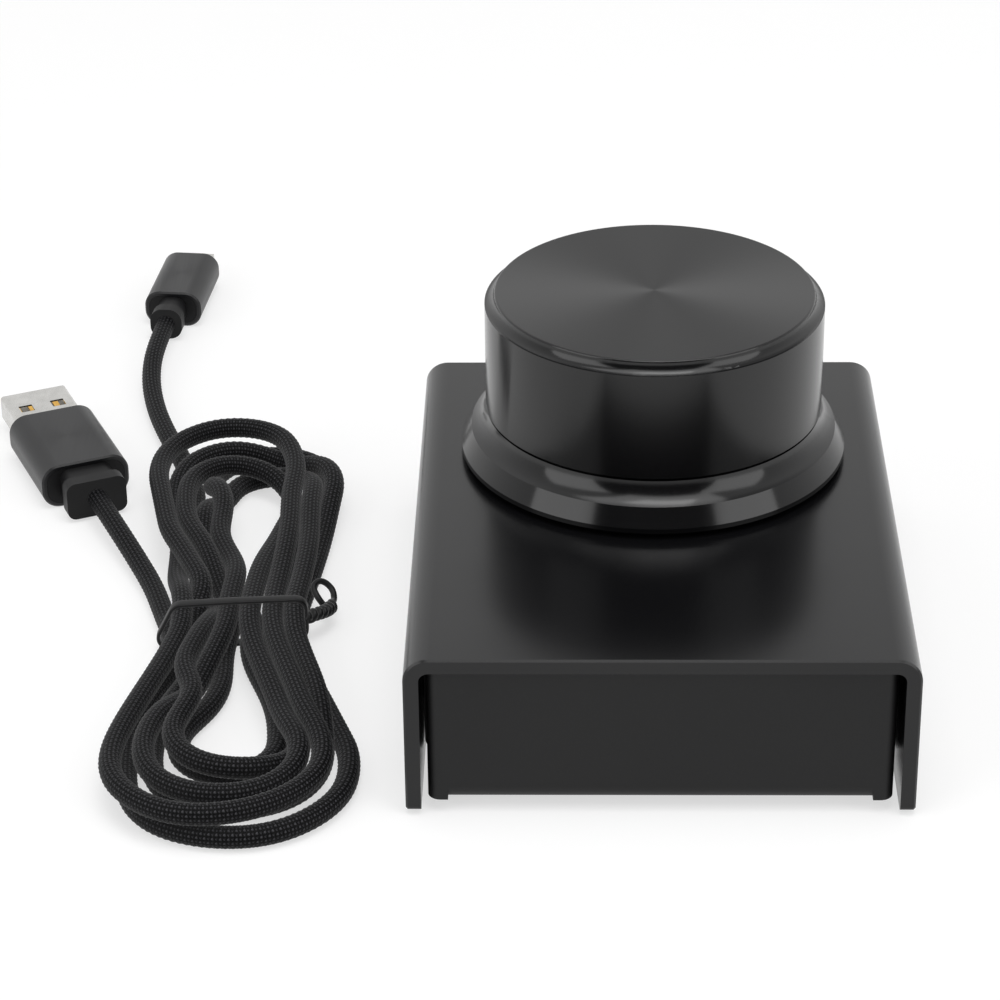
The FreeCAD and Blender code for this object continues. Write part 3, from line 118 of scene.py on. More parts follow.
def on_table(points):
    """Turns points by the hank's lean and moves them to its place: x, y = R p + place."""
    return np.column_stack([points[:, :2] @ TURN.T + HANK_PLACE, points[:, 2]])


def in_hank(points):
    """The way back: p = R' (x, y - place), with the case's left side added to x."""
    points = np.array(points) + [case_left / MM, 0, 0]
    return np.column_stack([(points[:, :2] - HANK_PLACE) @ TURN, points[:, 2]])


print("the cord enters the hank at", in_hank(TO_PLUG)[-1].round(1))

# %% [markdown]
# One pass round a lobe is a bulging line from the waist to the tip and back. Eight steps lead to
# the tip: the first five swing from the waist out to the side, the last three turn in over the tip.

# %% A pass round a lobe
ALONG = np.array([0, 0.17, 0.36, 0.55, 0.74, 0.90, 0.975, 1.0])
SWING = np.array([0, 0.14, 0.45, 0.78, 0.99, 0.86, 0.50, 0.0])


def lobe_pass(in_x, out_x, in_side, out_side, tip_x, tip_y, in_z, tip_z, out_z):
    """Half a pass is x = start + (side - start) * swing, where start is the waist on the way out
    and the tip's x on the last three steps; y and z go straight from the waist to the tip. The
    second half is the same with its own waist and side, run backwards."""
    halves = []
    for waist_x, side, z in ((in_x, in_side, in_z), (out_x, out_side, out_z)):
        start = np.where(ALONG < 0.8, waist_x, tip_x)
        halves.append(np.column_stack([start + (side - start) * SWING, ALONG * tip_y,
                                       z + (tip_z - z) * ALONG]))
    return np.concatenate([halves[0], halves[1][-2::-1]])


def rough_route():
    """The ends of the cord with all the passes between them, front and rear by turns."""
    parts = [in_hank(TO_PLUG)[-1:], [(-11.3, 2.5, 1.8)]]
    for turn, row in enumerate(FRONT):
        parts.append(lobe_pass(*row)[1:])
        if turn < len(REAR):
            parts.append(lobe_pass(*REAR[turn])[1:])
    parts += [[(-2.5, 12, 1.9), (-5.5, 27, 1.9), (-8.0, 39, 1.9)], in_hank(TO_MICRO)[-1:]]
    return np.concatenate(parts)


print("rough points:", len(rough_route()))

# %% [markdown]
# Rows alone would let strands run through each other. The real cord pushes its neighbours aside
# and springs open in its bends, so the route is settled in the same way: a few hundred small
# steps, in which near strands part, kinks are smoothed, tight bends open, and everything stays on
# the table, no higher than the second layer and inside the hank's outline. Where these pull against
# each other none wins fully: some folds stay tighter and some strands nearer than they should.
# The settling needs points at even distances, so the rows' corners are cut and points are set
# 2.8 mm apart first. The two loose ends stay as the model has them, point by point.

# %% Tools for a line of points
def evenly(points, step):
    """Points at equal distances: the length so far is the parameter, and each axis is read from
    it by straight interpolation."""
    way = np.concatenate([[0], np.linalg.norm(np.diff(points, axis=0), axis=1).cumsum()])
    at = np.linspace(0, way[-1], int(round(way[-1] / step)) + 1)
    return np.column_stack([np.interp(at, way, points[:, k]) for k in range(3)]), way[-1]


def cut_corners(points, times=3):
    """Each corner gives way to two points a quarter of the way along its sides."""
    for _ in range(times):
        first = points[:-1] * 0.75 + points[1:] * 0.25
        second = points[:-1] * 0.25 + points[1:] * 0.75
        between = np.stack([first, second], axis=1).reshape(-1, 3)
        points = np.concatenate([points[:1], between, points[-1:]])
    return points


def half_width(y):
    """Half of the hank's outline at y: the waist, a straight flank that touches the lobe's
    circle, then the circle."""
    widths = []
    for middle, radius in LOBES.values():
        reach = middle - WAIST_END
        square = WAIST ** 2 + reach ** 2
        slack = np.sqrt(square - radius ** 2)
        touch_x = (WAIST * radius ** 2 + reach * radius * slack) / square
        touch_y = middle - (reach * radius ** 2 - WAIST * radius * slack) / square
        away = np.abs(y)
        flank = WAIST + (touch_x - WAIST) * (away - WAIST_END) / (touch_y - WAIST_END)
        circle = np.sqrt(np.clip(radius ** 2 - (away - middle) ** 2, 0, None))
        widths.append(np.where(away < WAIST_END, WAIST, np.where(away < touch_y, flank, circle)))
    return np.where(y < 0, widths[0], widths[1])


print("outline at the tie and in the lobes:", half_width(np.array([0, -39.5, 49.5])).round(1))

# %% Settle the hank
PUSH, SMOOTH, RECALL, OPEN, SLIDE = 1.04, 0.9, 0.01, 0.25, 0.5      # shares done in each step


def settle(points, steps=500, step=2.8, apart=3.75, least_bend=11.5, low=1.8, high=6.2):
    """Moves a line of points until its strands lie beside and on each other.
    Each step: pairs nearer than apart go half of what they lack away from each other; the fourth
    difference smooths; bends tighter than least_bend are opened; points slide to even spacing."""
    points, _ = evenly(points, step)
    wanted = points.copy()
    ends = np.zeros(len(points), bool)
    ends[[0, 1, -2, -1]] = True
    fixed = points[ends].copy()
    one, other = np.triu_indices(len(points), 3)
    for _ in range(steps):
        gap = points[other] - points[one]
        near = np.flatnonzero((gap ** 2).sum(axis=1) < apart ** 2)
        size = np.linalg.norm(gap[near], axis=1)[:, None] + 1e-9
        push = gap[near] / size * (apart - size) * 0.5
        move = np.zeros_like(points)
        count = np.zeros(len(points))
        np.add.at(move, one[near], -push)
        np.add.at(move, other[near], push)
        np.add.at(count, one[near], 1)
        np.add.at(count, other[near], 1)
        points += PUSH * move / np.maximum(1, count)[:, None]

        smooth = np.zeros_like(points)
        smooth[2:-2] = (-points[:-4] + 4 * points[1:-3] - 6 * points[2:-2] + 4 * points[3:-1]
                        - points[4:]) / 16
        points += SMOOTH * smooth + RECALL * (wanted - points)
        for reach in (2, 3):
            rise = points[reach:-reach] - (points[:-2 * reach] + points[2 * reach:]) / 2
            height = np.linalg.norm(rise, axis=1) + 1e-9
            most = least_bend * (1 - np.cos(reach * step / least_bend))
            shift = rise * (np.clip(height - most, 0, None) / height * OPEN)[:, None]
            points[reach:-reach] -= shift
            points[:-2 * reach] += shift / 2
            points[2 * reach:] += shift / 2
        along = np.zeros_like(points)
        along[1:-1] = points[2:] - points[:-2]
        along /= np.linalg.norm(along, axis=1, keepdims=True) + 1e-9
        middle = np.zeros_like(points)
        middle[1:-1] = (points[:-2] + points[2:]) / 2 - points[1:-1]
        points += SLIDE * along * (middle * along).sum(axis=1, keepdims=True)

        points[ends] = fixed
        keep_inside(points, ~ends, low, high)
    return points


TIE_ZONE, TIE_LIFT, TIE_ROOM = 3, 0.5, 8.9     # near the tie: reach, lift over it, half width
SPARE = 0.05                                   # kept between the cord and the outline
ENTRY = np.linspace(12.0, 9.0, 8)              # room of the first eight points


def keep_inside(points, free, low, high):
    """Heights stay between low and high, widths inside the outline less the cord's radius, and
    points past a lobe's middle inside its circle. The first eight points come in from outside the
    outline, so their room narrows from 12 to 9 mm."""
    at_tie = np.abs(points[:, 1]) < TIE_ZONE
    points[:, 2] = np.clip(points[:, 2], np.where(at_tie, low + TIE_LIFT, low), high)
    room = np.maximum(half_width(points[:, 1]) - CORD / 2 - SPARE, 0)
    room = np.where(at_tie, np.minimum(room, TIE_ROOM), room)
    room[:len(ENTRY)] = np.maximum(room[:len(ENTRY)], ENTRY)
    points[free, 0] = np.clip(points[:, 0], -room, room)[free]
    for side, (middle, radius) in LOBES.items():
        past = free & (points[:, 1] * side > middle)
        out = points[past, :2] - [0, side * middle]
        far = np.linalg.norm(out, axis=1, keepdims=True) + 1e-9
        shrink = np.minimum(1, (radius - CORD / 2 - SPARE) / far)
        points[past, :2] = out * shrink + [0, side * middle]


hank = settle(cut_corners(rough_route()))
print("settled points:", len(hank), "length in the hank:", round(evenly(hank, 3.4)[1]), "mm")

# %% [markdown]
# The whole route is the plug's end, the hank and the other plug's end turned round. It becomes one
# NURBS curve of order 3 with these points as its control points, which gives a smooth line with no
# corners. Its order is set after the points are in, because before that Blender keeps it at 2.

# %% The cord's line
def table_ends(points):
    return np.array(points) + [case_left / MM, 0, 0]


route = np.concatenate([table_ends(TO_PLUG)[:-1], on_table(hank), table_ends(TO_MICRO)[-2::-1]])

line_data = bpy.data.curves.new("cord_line", "CURVE")
line_data.dimensions = "3D"
spline = line_data.splines.new("NURBS")
spline.points.add(len(route) - 1)
spline.points.foreach_set("co", np.column_stack([route * MM, np.ones(len(route))]).ravel())
spline.order_u = 3
spline.use_endpoint_u = True
line = bpy.data.objects.new("cord_line", line_data)
bpy.context.collection.objects.link(line)
bpy.context.view_layer.update()

drawn = bpy.data.meshes.new_from_object(line)
path = np.empty(len(drawn.vertices) * 3)
drawn.vertices.foreach_get("co", path)
path = path.reshape(-1, 3)
bpy.data.objects.remove(line)
print("line points:", len(path), "length:", round(evenly(path, 0.001)[1], 4), "m")

# %% [markdown]
# ## The braided cord
# Over its wires the cord has a sleeve of nylon, braided by sixteen bobbins that cross left and
# right. It could be a smooth tube with a painted pattern, but the braid's bumps catch the light one
# by one, so the tube has them in its shape: its radius rises and falls in a diamond lattice.

# %% A tube or ring out of a grid
def surface(name, grid, ring=False, marks=None):
    """Makes a mesh of a grid of points (rows along, columns around). Columns always close round;
    rows close too if ring is true, else each end gets a flat cap. marks are the UV numbers of one
    row and column step, so that u counts columns and v counts rows."""
    rows, columns = grid.shape[:2]
    r, c = np.mgrid[0:rows if ring else rows - 1, 0:columns]
    near, far = r * columns, (r + 1) % rows * columns
    beside = (c + 1) % columns
    quads = np.stack([near + c, near + beside, far + beside, far + c], axis=-1).reshape(-1, 4)
    faces = quads.tolist()
    if not ring:
        faces += [list(range(columns))[::-1], list(range((rows - 1) * columns, rows * columns))]
    mesh = bpy.data.meshes.new(name)
    mesh.from_pydata(grid.reshape(-1, 3).tolist(), [], faces)
    mesh.polygons.foreach_set("use_smooth", np.ones(len(faces), bool))
    if marks:
        u = np.stack([c, c + 1, c + 1, c], -1) * marks[0]
        v = np.stack([r, r, r + 1, r + 1], -1) * marks[1]
        corners = np.zeros((len(mesh.loops), 2))
        corners[:quads.size] = np.stack([u.ravel(), v.ravel()], -1)
        mesh.uv_layers.new(name="braid").data.foreach_set("uv", corners.ravel())
    piece = bpy.data.objects.new(name, mesh)
    bpy.context.collection.objects.link(piece)
    return piece


def sweep(points, radius, columns):
    """A tube along a line: p + radius (cos a side + sin a up), where side is level and square to
    the line, and up is square to both. radius is one number or a grid of rows and columns."""
    ahead_of = np.gradient(points, axis=0)
    ahead_of /= np.linalg.norm(ahead_of, axis=1, keepdims=True)
    side = np.cross(ahead_of, [0, 0, 1])
    side /= np.linalg.norm(side, axis=1, keepdims=True)
    up = np.cross(side, ahead_of)
    angle = np.arange(columns) * 2 * np.pi / columns
    round_it = np.cos(angle)[:, None] * side[:, None] + np.sin(angle)[:, None] * up[:, None]
    return points[:, None] + np.broadcast_to(radius, (len(points), columns))[..., None] * round_it


# %% The cord
BRAID = 1.1 * MM              # two crossings of the braid along the cord
AROUND = 16                   # points round the cord, one for each bobbin
CORE, RELIEF = 1.70, 0.06     # mean radius of the sleeve, rise and fall of its crossings
centres, cord_length = evenly(path, BRAID / 4)
row, column = np.mgrid[0:len(centres), 0:AROUND]
relief = CORE * MM + RELIEF * MM * np.cos(np.pi * column) * np.cos(np.pi / 2 * row)
cord = surface("cord", sweep(centres, relief, AROUND), marks=(1 / AROUND, 0.25))
print("cord:", round(cord_length, 3), "m,", len(cord.data.polygons), "faces")

# %% [markdown]
# ## The tie
# A flat plastic-covered wire holds the hank. It lies taut, so its line is the outline of a string
# pulled round the strands: for each direction, the strand that lies farthest out, plus its radius.
# Its two ends are twisted together and one is left as a small loop.

# %% Band round the strands
crossing = np.flatnonzero(np.diff(np.sign(hank[:, 1])))
share = (hank[crossing, 1] / (hank[crossing, 1] - hank[crossing + 1, 1]))[:, None]
strands = (hank[crossing] * (1 - share) + hank[crossing + 1] * share)[:, [0, 2]]
way = np.linspace(0, 2 * np.pi, 720, endpoint=False)
out = np.column_stack([np.cos(way), np.sin(way)])
BAND_WIDE, BAND_THICK = 1.7, 0.6
BITE, BAND_SLANT = 0.1, 0.08         # how far it presses in, how much it leans
BAND_STEP, BAND_SIDES = 0.25, 20     # point to point along it, points round it
string = strands[(out @ strands.T).argmax(axis=1)] + out * (CORD / 2 + BAND_THICK / 2 - BITE)
string = np.column_stack([string[:, 0], np.zeros(len(string)), string[:, 1]])
string, _ = evenly(np.vstack([string, string[:1]]), BAND_STEP)
string = string[:-1]

pull = np.roll(string, -1, axis=0) - np.roll(string, 1, axis=0)
pull /= np.linalg.norm(pull, axis=1, keepdims=True)
outward = np.cross([0, 1, 0], pull) * -1
angle = np.arange(BAND_SIDES) * 2 * np.pi / BAND_SIDES
flat = np.sign(np.cos(angle)) * np.abs(np.cos(angle)) ** 0.5 * BAND_THICK / 2
wide = np.sign(np.sin(angle)) * np.abs(np.sin(angle)) ** 0.5 * BAND_WIDE / 2
band = string[:, None] + flat[:, None] * outward[:, None] + wide[:, None] * np.array([0, 1, 0])
band[..., 1] += band[..., 0] * BAND_SLANT
tie = surface("tie", (on_table(band.reshape(-1, 3)) * MM).reshape(band.shape), ring=True)
print("strands at the tie:", len(strands), "band from", string.min(0).round(1),
      "to", string.max(0).round(1))

# %% Twisted ends
WIRE, WIRE_STEP, TWIST, APART = 0.52, 0.15, 2.3, 0.62      # radius, point to point, pitch, swing
knot, _ = evenly(cut_corners(np.array([(10.6, 0.4, 4.2), (11.8, 1.2, 4.4), (13.2, 2.6, 4.0),
                                       (14.2, 4.4, 3.4), (14.8, 6.4, 3.0)])), WIRE_STEP)
turned = np.arange(len(knot)) * WIRE_STEP / TWIST * 2 * np.pi
swing = np.column_stack([np.cos(turned), -0.6 * np.cos(turned), np.sin(turned)]) * APART
loop, _ = evenly(cut_corners(np.array([knot[-1] + swing[-1], (15.2, 8.0, 2.9), (14.9, 10.2, 4.0),
                                       (13.0, 10.8, 5.4), (11.6, 9.4, 5.0), (12.4, 7.6, 4.0),
                                       (13.6, 6.8, 2.6)])), WIRE_STEP)
ends = []
for name, wire in (("tie_end", knot - swing), ("tie_loop", np.vstack([knot + swing, loop[1:]]))):
    ends.append(surface(name, sweep(on_table(wire) * MM, WIRE * MM, 12)))
print("twisted ends:", [len(end.data.polygons) for end in ends])

# %% Hang the cord's pieces on the base and hide the model's own cord and tie
for piece in [cord, tie, *ends]:
    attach(piece, "base")
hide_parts("cord_hank", "cord_plug_end", "cord_micro_end")
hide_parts("wire_tie")

# %% [markdown]
# ## Finishes
# Each finish starts from what the real surface is and how it was made. Three helpers are enough:
# one turns a hex colour into the linear numbers that Blender calculates with, one adds a node, and
# one starts a material with its shader.

# %% Helpers for materials
def linear(code):
    """Hex to linear: ((s + 0.055) / 1.055) to the power 2.4, or s / 12.92 where s is very dark."""
    s = np.array([int(code[k:k + 2], 16) for k in (1, 3, 5)]) / 255
    return (*np.where(s > 0.04045, ((s + 0.055) / 1.055) ** 2.4, s / 12.92).tolist(), 1.0)


def add(tree, kind, inputs=None, **settings):
    """Adds a node. settings are its properties; inputs are values, or sockets to link."""
    node = tree.nodes.new("ShaderNode" + kind)
    for name, value in settings.items():
        setattr(node, name, value)
    for name, value in (inputs or {}).items():
        if isinstance(value, bpy.types.NodeSocket):
            tree.links.new(value, node.inputs[name])
        else:
            node.inputs[name].default_value = value
    return node


def start(name, **numbers):
    """A material with one Principled shader. numbers are its inputs, with _ for a space."""
    material = bpy.data.materials.new(name)
    material.use_nodes = True
    tree = material.node_tree
    tree.nodes.clear()
    skin = add(tree, "BsdfPrincipled", {key.replace("_", " "): v for key, v in numbers.items()})
    add(tree, "OutputMaterial", {"Surface": skin.outputs[0]})
    place = add(tree, "TexCoord").outputs["Object"]
    return material, tree, skin, place


finishes = {}
print("white is", linear("#FFFFFF")[:3])

# %% [markdown]
# ### Black anodised aluminium, turned
# The knob is cut on a lathe and then anodised and dyed black. The dye sits in a clear oxide layer,
# so the surface reflects like a hard glaze over black, not like bare metal. The tool leaves fine
# grooves round the axis: they stretch each highlight across them, which draws light and dark
# sectors on the flat top. The tangent runs round the axis, and a quarter turn of it points the
# stretch across the grooves. The flat top is faced in a coarser cut than the side.

# %% Turned finish
axis = (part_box("knob_cap")[0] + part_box("knob_cap")[1]) / 2
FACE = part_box("knob_cap")[1].z        # height of the flat top
material, tree, skin, place = start("anodised aluminium, turned, black", IOR=1.5,
                                    Anisotropic=0.9, Anisotropic_Rotation=0.25)
from_axis = add(tree, "VectorMath", {0: place, 1: (axis.x, axis.y, 0)}, operation="SUBTRACT")
flat_way = add(tree, "VectorMath", {0: from_axis.outputs[0], 1: (1, 1, 0)}, operation="MULTIPLY")
radius = add(tree, "VectorMath", {0: flat_way.outputs[0]}, operation="LENGTH")
height = add(tree, "SeparateXYZ", {0: place})
groove_at = add(tree, "Math", {0: radius.outputs["Value"], 1: height.outputs["Z"]},
                operation="ADD")
grooves = add(tree, "TexNoise", {"W": groove_at.outputs[0], "Scale": 1 / (0.18 * MM),
                                 "Detail": 3.0}, noise_dimensions="1D")
round_way = add(tree, "VectorMath", {0: (0, 0, 1), 1: flat_way.outputs[0]},
                operation="CROSS_PRODUCT")
tangent = add(tree, "VectorMath", {0: round_way.outputs[0]}, operation="NORMALIZE")
tree.links.new(tangent.outputs[0], skin.inputs["Tangent"])
shade = add(tree, "ValToRGB", {0: grooves.outputs[0]})
shade.color_ramp.elements[0].color = linear("#080809")
shade.color_ramp.elements[1].color = linear("#0E0E0F")
tree.links.new(shade.outputs[0], skin.inputs["Base Color"])
dull = add(tree, "MapRange", {0: grooves.outputs[0], 3: 0.14, 4: 0.18})
faced = add(tree, "MapRange", {0: height.outputs["Z"], 1: FACE - 0.15 * MM, 2: FACE - 0.05 * MM,
                               3: 0.0, 4: 0.17})
both = add(tree, "Math", {0: dull.outputs[0], 1: faced.outputs[0]}, operation="ADD")
tree.links.new(both.outputs[0], skin.inputs["Roughness"])
bump = add(tree, "Bump", {"Height": grooves.outputs[0], "Strength": 0.06, "Distance": 0.01 * MM})
tree.links.new(bump.outputs[0], skin.inputs["Normal"])
finishes["knob_aluminium"] = material
print("knob axis at", tuple(round(v / MM, 2) for v in axis[:2]), "mm")

# %% [markdown]
# ### Black anodised aluminium, blasted
# The case is folded from sheet, blasted with fine glass beads and anodised. The beads leave tiny
# dents of about 0.1 mm, which blur reflections evenly in all directions. They are drawn at 0.25 mm,
# because the real ones are too fine to show. Slow clouds in the roughness stand for handling.

# %% Blasted finish for the cover and the chassis
# slot, name, dark and light colour, roughness, IOR of the dyed oxide
BLASTED = [("case_aluminium", "anodised aluminium, blasted, black",
            "#08080A", "#0E0E0F", 0.22, 1.44),
           ("chassis_aluminium", "anodised aluminium, blasted, black, inner",
            "#060607", "#0B0B0C", 0.55, 1.42)]
for slot, name, dark, light, rough, glaze in BLASTED:
    material, tree, skin, place = start(name, IOR=glaze)
    dents = add(tree, "TexNoise", {"Vector": place, "Scale": 1 / (0.25 * MM), "Detail": 2.0})
    clouds = add(tree, "TexNoise", {"Vector": place, "Scale": 1 / (14 * MM), "Detail": 3.0})
    shade = add(tree, "ValToRGB", {0: dents.outputs[0]})
    shade.color_ramp.elements[0].position, shade.color_ramp.elements[1].position = 0.3, 0.7
    shade.color_ramp.elements[0].color = linear(dark)
    shade.color_ramp.elements[1].color = linear(light)
    tree.links.new(shade.outputs[0], skin.inputs["Base Color"])
    dull = add(tree, "MapRange", {0: clouds.outputs[0], 3: rough - 0.03, 4: rough + 0.03})
    tree.links.new(dull.outputs[0], skin.inputs["Roughness"])
    bump = add(tree, "Bump", {"Height": dents.outputs[0], "Strength": 0.25, "Distance": 0.006 * MM})
    tree.links.new(bump.outputs[0], skin.inputs["Normal"])
    finishes[slot] = material
print("blasted finishes:", list(finishes))

# %% [markdown]
# ### The plugs' sleeves
# The plugs wear drawn aluminium tubes, brushed along their length and anodised black.

# %% Brushed sleeves
material, tree, skin, place = start("anodised aluminium, brushed, black", IOR=1.42,
                                    Metallic=0.0, Anisotropic=0.4)
stretch = add(tree, "Mapping", {"Vector": place, "Rotation": (0, 0, np.radians(-24)),
                                "Scale": (1, 0.04, 1)})
brush = add(tree, "TexNoise", {"Vector": stretch.outputs[0], "Scale": 1 / (0.3 * MM),
                               "Detail": 3.0})
shade = add(tree, "ValToRGB", {0: brush.outputs[0]})
shade.color_ramp.elements[0].color = linear("#0B0B0D")
shade.color_ramp.elements[1].color = linear("#18181A")
tree.links.new(shade.outputs[0], skin.inputs["Base Color"])
dull = add(tree, "MapRange", {0: brush.outputs[0], 3: 0.28, 4: 0.42})
tree.links.new(dull.outputs[0], skin.inputs["Roughness"])
bump = add(tree, "Bump", {"Height": brush.outputs[0], "Strength": 0.2, "Distance": 0.008 * MM})
tree.links.new(bump.outputs[0], skin.inputs["Normal"])
finishes["sleeve_aluminium"] = material
print("sleeves: brushed, black")

# %% [markdown]
# ### Metals
# The shells of the plugs and the encoder's metal parts are nickel-plated steel strip: bright, a
# very little warm, with fine rolling lines and faint stains. Posts, bushing and insert are turned
# brass, the contacts are gold over nickel, and the screws are steel, blackened so that they vanish
# in the case. A metal's colour is its reflection, so only the roughness and a slight tint vary.

# %% Metal finishes
# slot, name, dark and light colour, roughness, width of the rolling lines in millimetres
METALS = [("plated_steel", "steel, nickel plated", "#BEBDBA", "#CCCBC8", 0.24, 0.9),
          ("post_brass", "brass, turned", "#B98D45", "#D9B56C", 0.30, 0.5),
          ("contact_gold", "gold plating", "#D9A441", "#F0C566", 0.22, 0.6),
          ("screw_steel", "steel, black oxide", "#1B1B1D", "#303033", 0.38, 0.7)]
for slot, name, dark, light, rough, mark in METALS:
    material, tree, skin, place = start(name, Metallic=1.0)
    lines = add(tree, "Mapping", {"Vector": place, "Scale": (1, 0.15, 1)})
    rolled = add(tree, "TexNoise", {"Vector": lines.outputs[0], "Scale": 1 / (mark * MM),
                                    "Detail": 4.0})
    stains = add(tree, "TexNoise", {"Vector": place, "Scale": 1 / (3 * MM), "Detail": 2.0})
    shade = add(tree, "ValToRGB", {0: stains.outputs[0]})
    shade.color_ramp.elements[0].position, shade.color_ramp.elements[1].position = 0.3, 0.65
    shade.color_ramp.elements[0].color = linear(dark)
    shade.color_ramp.elements[1].color = linear(light)
    tree.links.new(shade.outputs[0], skin.inputs["Base Color"])
    dull = add(tree, "MapRange", {0: rolled.outputs[0], 1: 0.3, 2: 0.7,
                                  3: rough - 0.06, 4: rough + 0.08})
    tree.links.new(dull.outputs[0], skin.inputs["Roughness"])
    bump = add(tree, "Bump", {"Height": rolled.outputs[0], "Strength": 0.15,
                              "Distance": 0.006 * MM})
    tree.links.new(bump.outputs[0], skin.inputs["Normal"])
    finishes[slot] = material
print("metals:", [row[0] for row in METALS])

# %% [markdown]
# ### Plastics and rubber
# Moulded plastic takes the fine spark-eroded grain of its mould, so it is never quite smooth. The
# plugs' backs and the tie are soft vinyl, duller than the hard encoder housing. The feet are foam
# rubber with open pores. The capacitors are fired ceramic, and the plug's tongue is pale nylon.

# %% Plastic finishes
# slot, name, dark and light colour, roughness, grain in millimetres, depth of the grain, gloss
PLASTICS = [("black_plastic", "ABS, moulded, black", "#131314", "#1D1D1F", 0.42, 0.12, 0.3, 0.5),
            ("plug_plastic", "vinyl, moulded, black", "#0B0B0C", "#141415", 0.5, 0.18, 0.4, 0.25),
            ("tie_plastic", "vinyl-covered wire", "#0D0D0E", "#171718", 0.45, 0.2, 0.3, 0.25),
            ("foot_rubber", "foam rubber", "#1B1B1C", "#2B2B2C", 0.85, 0.35, 0.9, 0.5),
            ("pale_plastic", "nylon, pale", "#D8D4C8", "#EDEAE1", 0.45, 0.2, 0.2, 0.5),
            ("capacitor", "ceramic, fired", "#8C6A45", "#B08A5E", 0.55, 0.15, 0.3, 0.5)]
for slot, name, dark, light, rough, grain, depth, glint in PLASTICS:
    material, tree, skin, place = start(name, IOR=1.5, Specular_IOR_Level=glint)
    pores = add(tree, "TexNoise", {"Vector": place, "Scale": 1 / (grain * MM), "Detail": 2.0})
    flow = add(tree, "TexNoise", {"Vector": place, "Scale": 1 / (6 * MM), "Detail": 2.0})
    both = add(tree, "Math", {0: pores.outputs[0], 1: flow.outputs[0]}, operation="MULTIPLY")
    shade = add(tree, "ValToRGB", {0: both.outputs[0]})
    shade.color_ramp.elements[0].position, shade.color_ramp.elements[1].position = 0.12, 0.42
    shade.color_ramp.elements[0].color = linear(dark)
    shade.color_ramp.elements[1].color = linear(light)
    tree.links.new(shade.outputs[0], skin.inputs["Base Color"])
    dull = add(tree, "MapRange", {0: flow.outputs[0], 1: 0.3, 2: 0.7,
                                  3: rough - 0.05, 4: rough + 0.05})
    tree.links.new(dull.outputs[0], skin.inputs["Roughness"])
    bump = add(tree, "Bump", {"Height": pores.outputs[0], "Strength": depth, "Distance": 0.02 * MM})
    tree.links.new(bump.outputs[0], skin.inputs["Normal"])
    finishes[slot] = material
print("plastics:", [row[0] for row in PLASTICS])

# %% [markdown]
# ### The circuit board
# Glass-fibre board under dark green lacquer. Copper lines show through as slightly lighter strips
# at right angles to each other, here from a brick pattern with 1.3 mm lines, and the lacquer lies
# over it glossy and a little wavy.

# %% Board finish
BRICK, LINE = 10, 0.13          # scale of the pattern in millimetres, its rows as a part of that
material, tree, skin, place = start("circuit board, green lacquer", Roughness=0.3, IOR=1.5,
                                    Coat_Weight=0.4, Coat_Roughness=0.15)
lines = add(tree, "TexBrick", {"Vector": place, "Scale": 1 / (BRICK * MM), "Mortar Size": 0.012,
                               "Brick Width": 0.45, "Row Height": LINE,
                               "Color1": linear("#0C3A22"), "Color2": linear("#0E4227"),
                               "Mortar": linear("#1C6A40")})
weave = add(tree, "TexNoise", {"Vector": place, "Scale": 1 / (0.5 * MM), "Detail": 2.0})
tint = add(tree, "Mix", {0: weave.outputs[0], 6: lines.outputs[0], 7: linear("#0A2F1C")},
           data_type="RGBA")
tree.links.new(tint.outputs[2], skin.inputs["Base Color"])
bump = add(tree, "Bump", {"Height": lines.outputs["Fac"], "Strength": 0.4, "Distance": 0.03 * MM})
tree.links.new(bump.outputs[0], skin.inputs["Normal"])
finishes["board"] = material
print("board lines every", BRICK * LINE, "mm")

# %% [markdown]
# ### Braided nylon
# The sleeve is black nylon yarn. Each bobbin lays a flat bundle of a few threads, and the bundles
# that run left pass over and under those that run right. The base colour paints a highlight on the
# crown of each crossing, brighter in one family than in the other, and paints shade between the
# crossings, where it is nearly black. The pattern reads the cord's own UV map, where u goes once
# round the cord and v goes up one for each 1.1 mm, the same as its relief.

# %% Braid finish
material, tree, skin, _ = start("nylon yarn, braided, black", Roughness=0.5, IOR=1.5,
                                Specular_IOR_Level=0.1, Sheen_Weight=0.015, Sheen_Roughness=0.4)
map_of = add(tree, "UVMap", uv_map="braid").outputs[0]
part = add(tree, "SeparateXYZ", {0: map_of})
u_turn = add(tree, "Math", {0: part.outputs["X"], 1: AROUND * np.pi}, operation="MULTIPLY")
v_turn = add(tree, "Math", {0: part.outputs["Y"], 1: 2 * np.pi}, operation="MULTIPLY")
u_wave = add(tree, "Math", {0: u_turn.outputs[0]}, operation="COSINE")
v_wave = add(tree, "Math", {0: v_turn.outputs[0]}, operation="COSINE")
crown = add(tree, "Math", {0: u_wave.outputs[0], 1: v_wave.outputs[0]}, operation="MULTIPLY")
way_a = add(tree, "Math", {0: u_turn.outputs[0], 1: v_turn.outputs[0]}, operation="ADD")
way_b = add(tree, "Math", {0: u_turn.outputs[0], 1: v_turn.outputs[0]}, operation="SUBTRACT")
left = add(tree, "Math", {0: crown.outputs[0], 1: 0.0}, operation="GREATER_THAN")
across = add(tree, "Mix", {0: left.outputs[0], 2: way_a.outputs[0], 3: way_b.outputs[0]})
fine = add(tree, "Math", {0: across.outputs[0], 1: 3.0}, operation="MULTIPLY")
threads = add(tree, "Math", {0: fine.outputs[0]}, operation="SINE")
under = add(tree, "Math", {0: crown.outputs[0], 1: -0.7}, operation="MULTIPLY")
rise = add(tree, "Math", {0: crown.outputs[0], 1: under.outputs[0]}, operation="MAXIMUM")
lift = add(tree, "Math", {0: threads.outputs[0], 1: 0.12, 2: rise.outputs[0]},
           operation="MULTIPLY_ADD")
# painted light: the ramp's light end is a painted highlight on the crowns and its dark end painted
# shade between the crossings; lift also drives the real bump below
shade = add(tree, "ValToRGB", {0: lift.outputs[0]})
shade.color_ramp.elements[0].color = linear("#010102")
shade.color_ramp.elements[1].color = linear("#48484B")
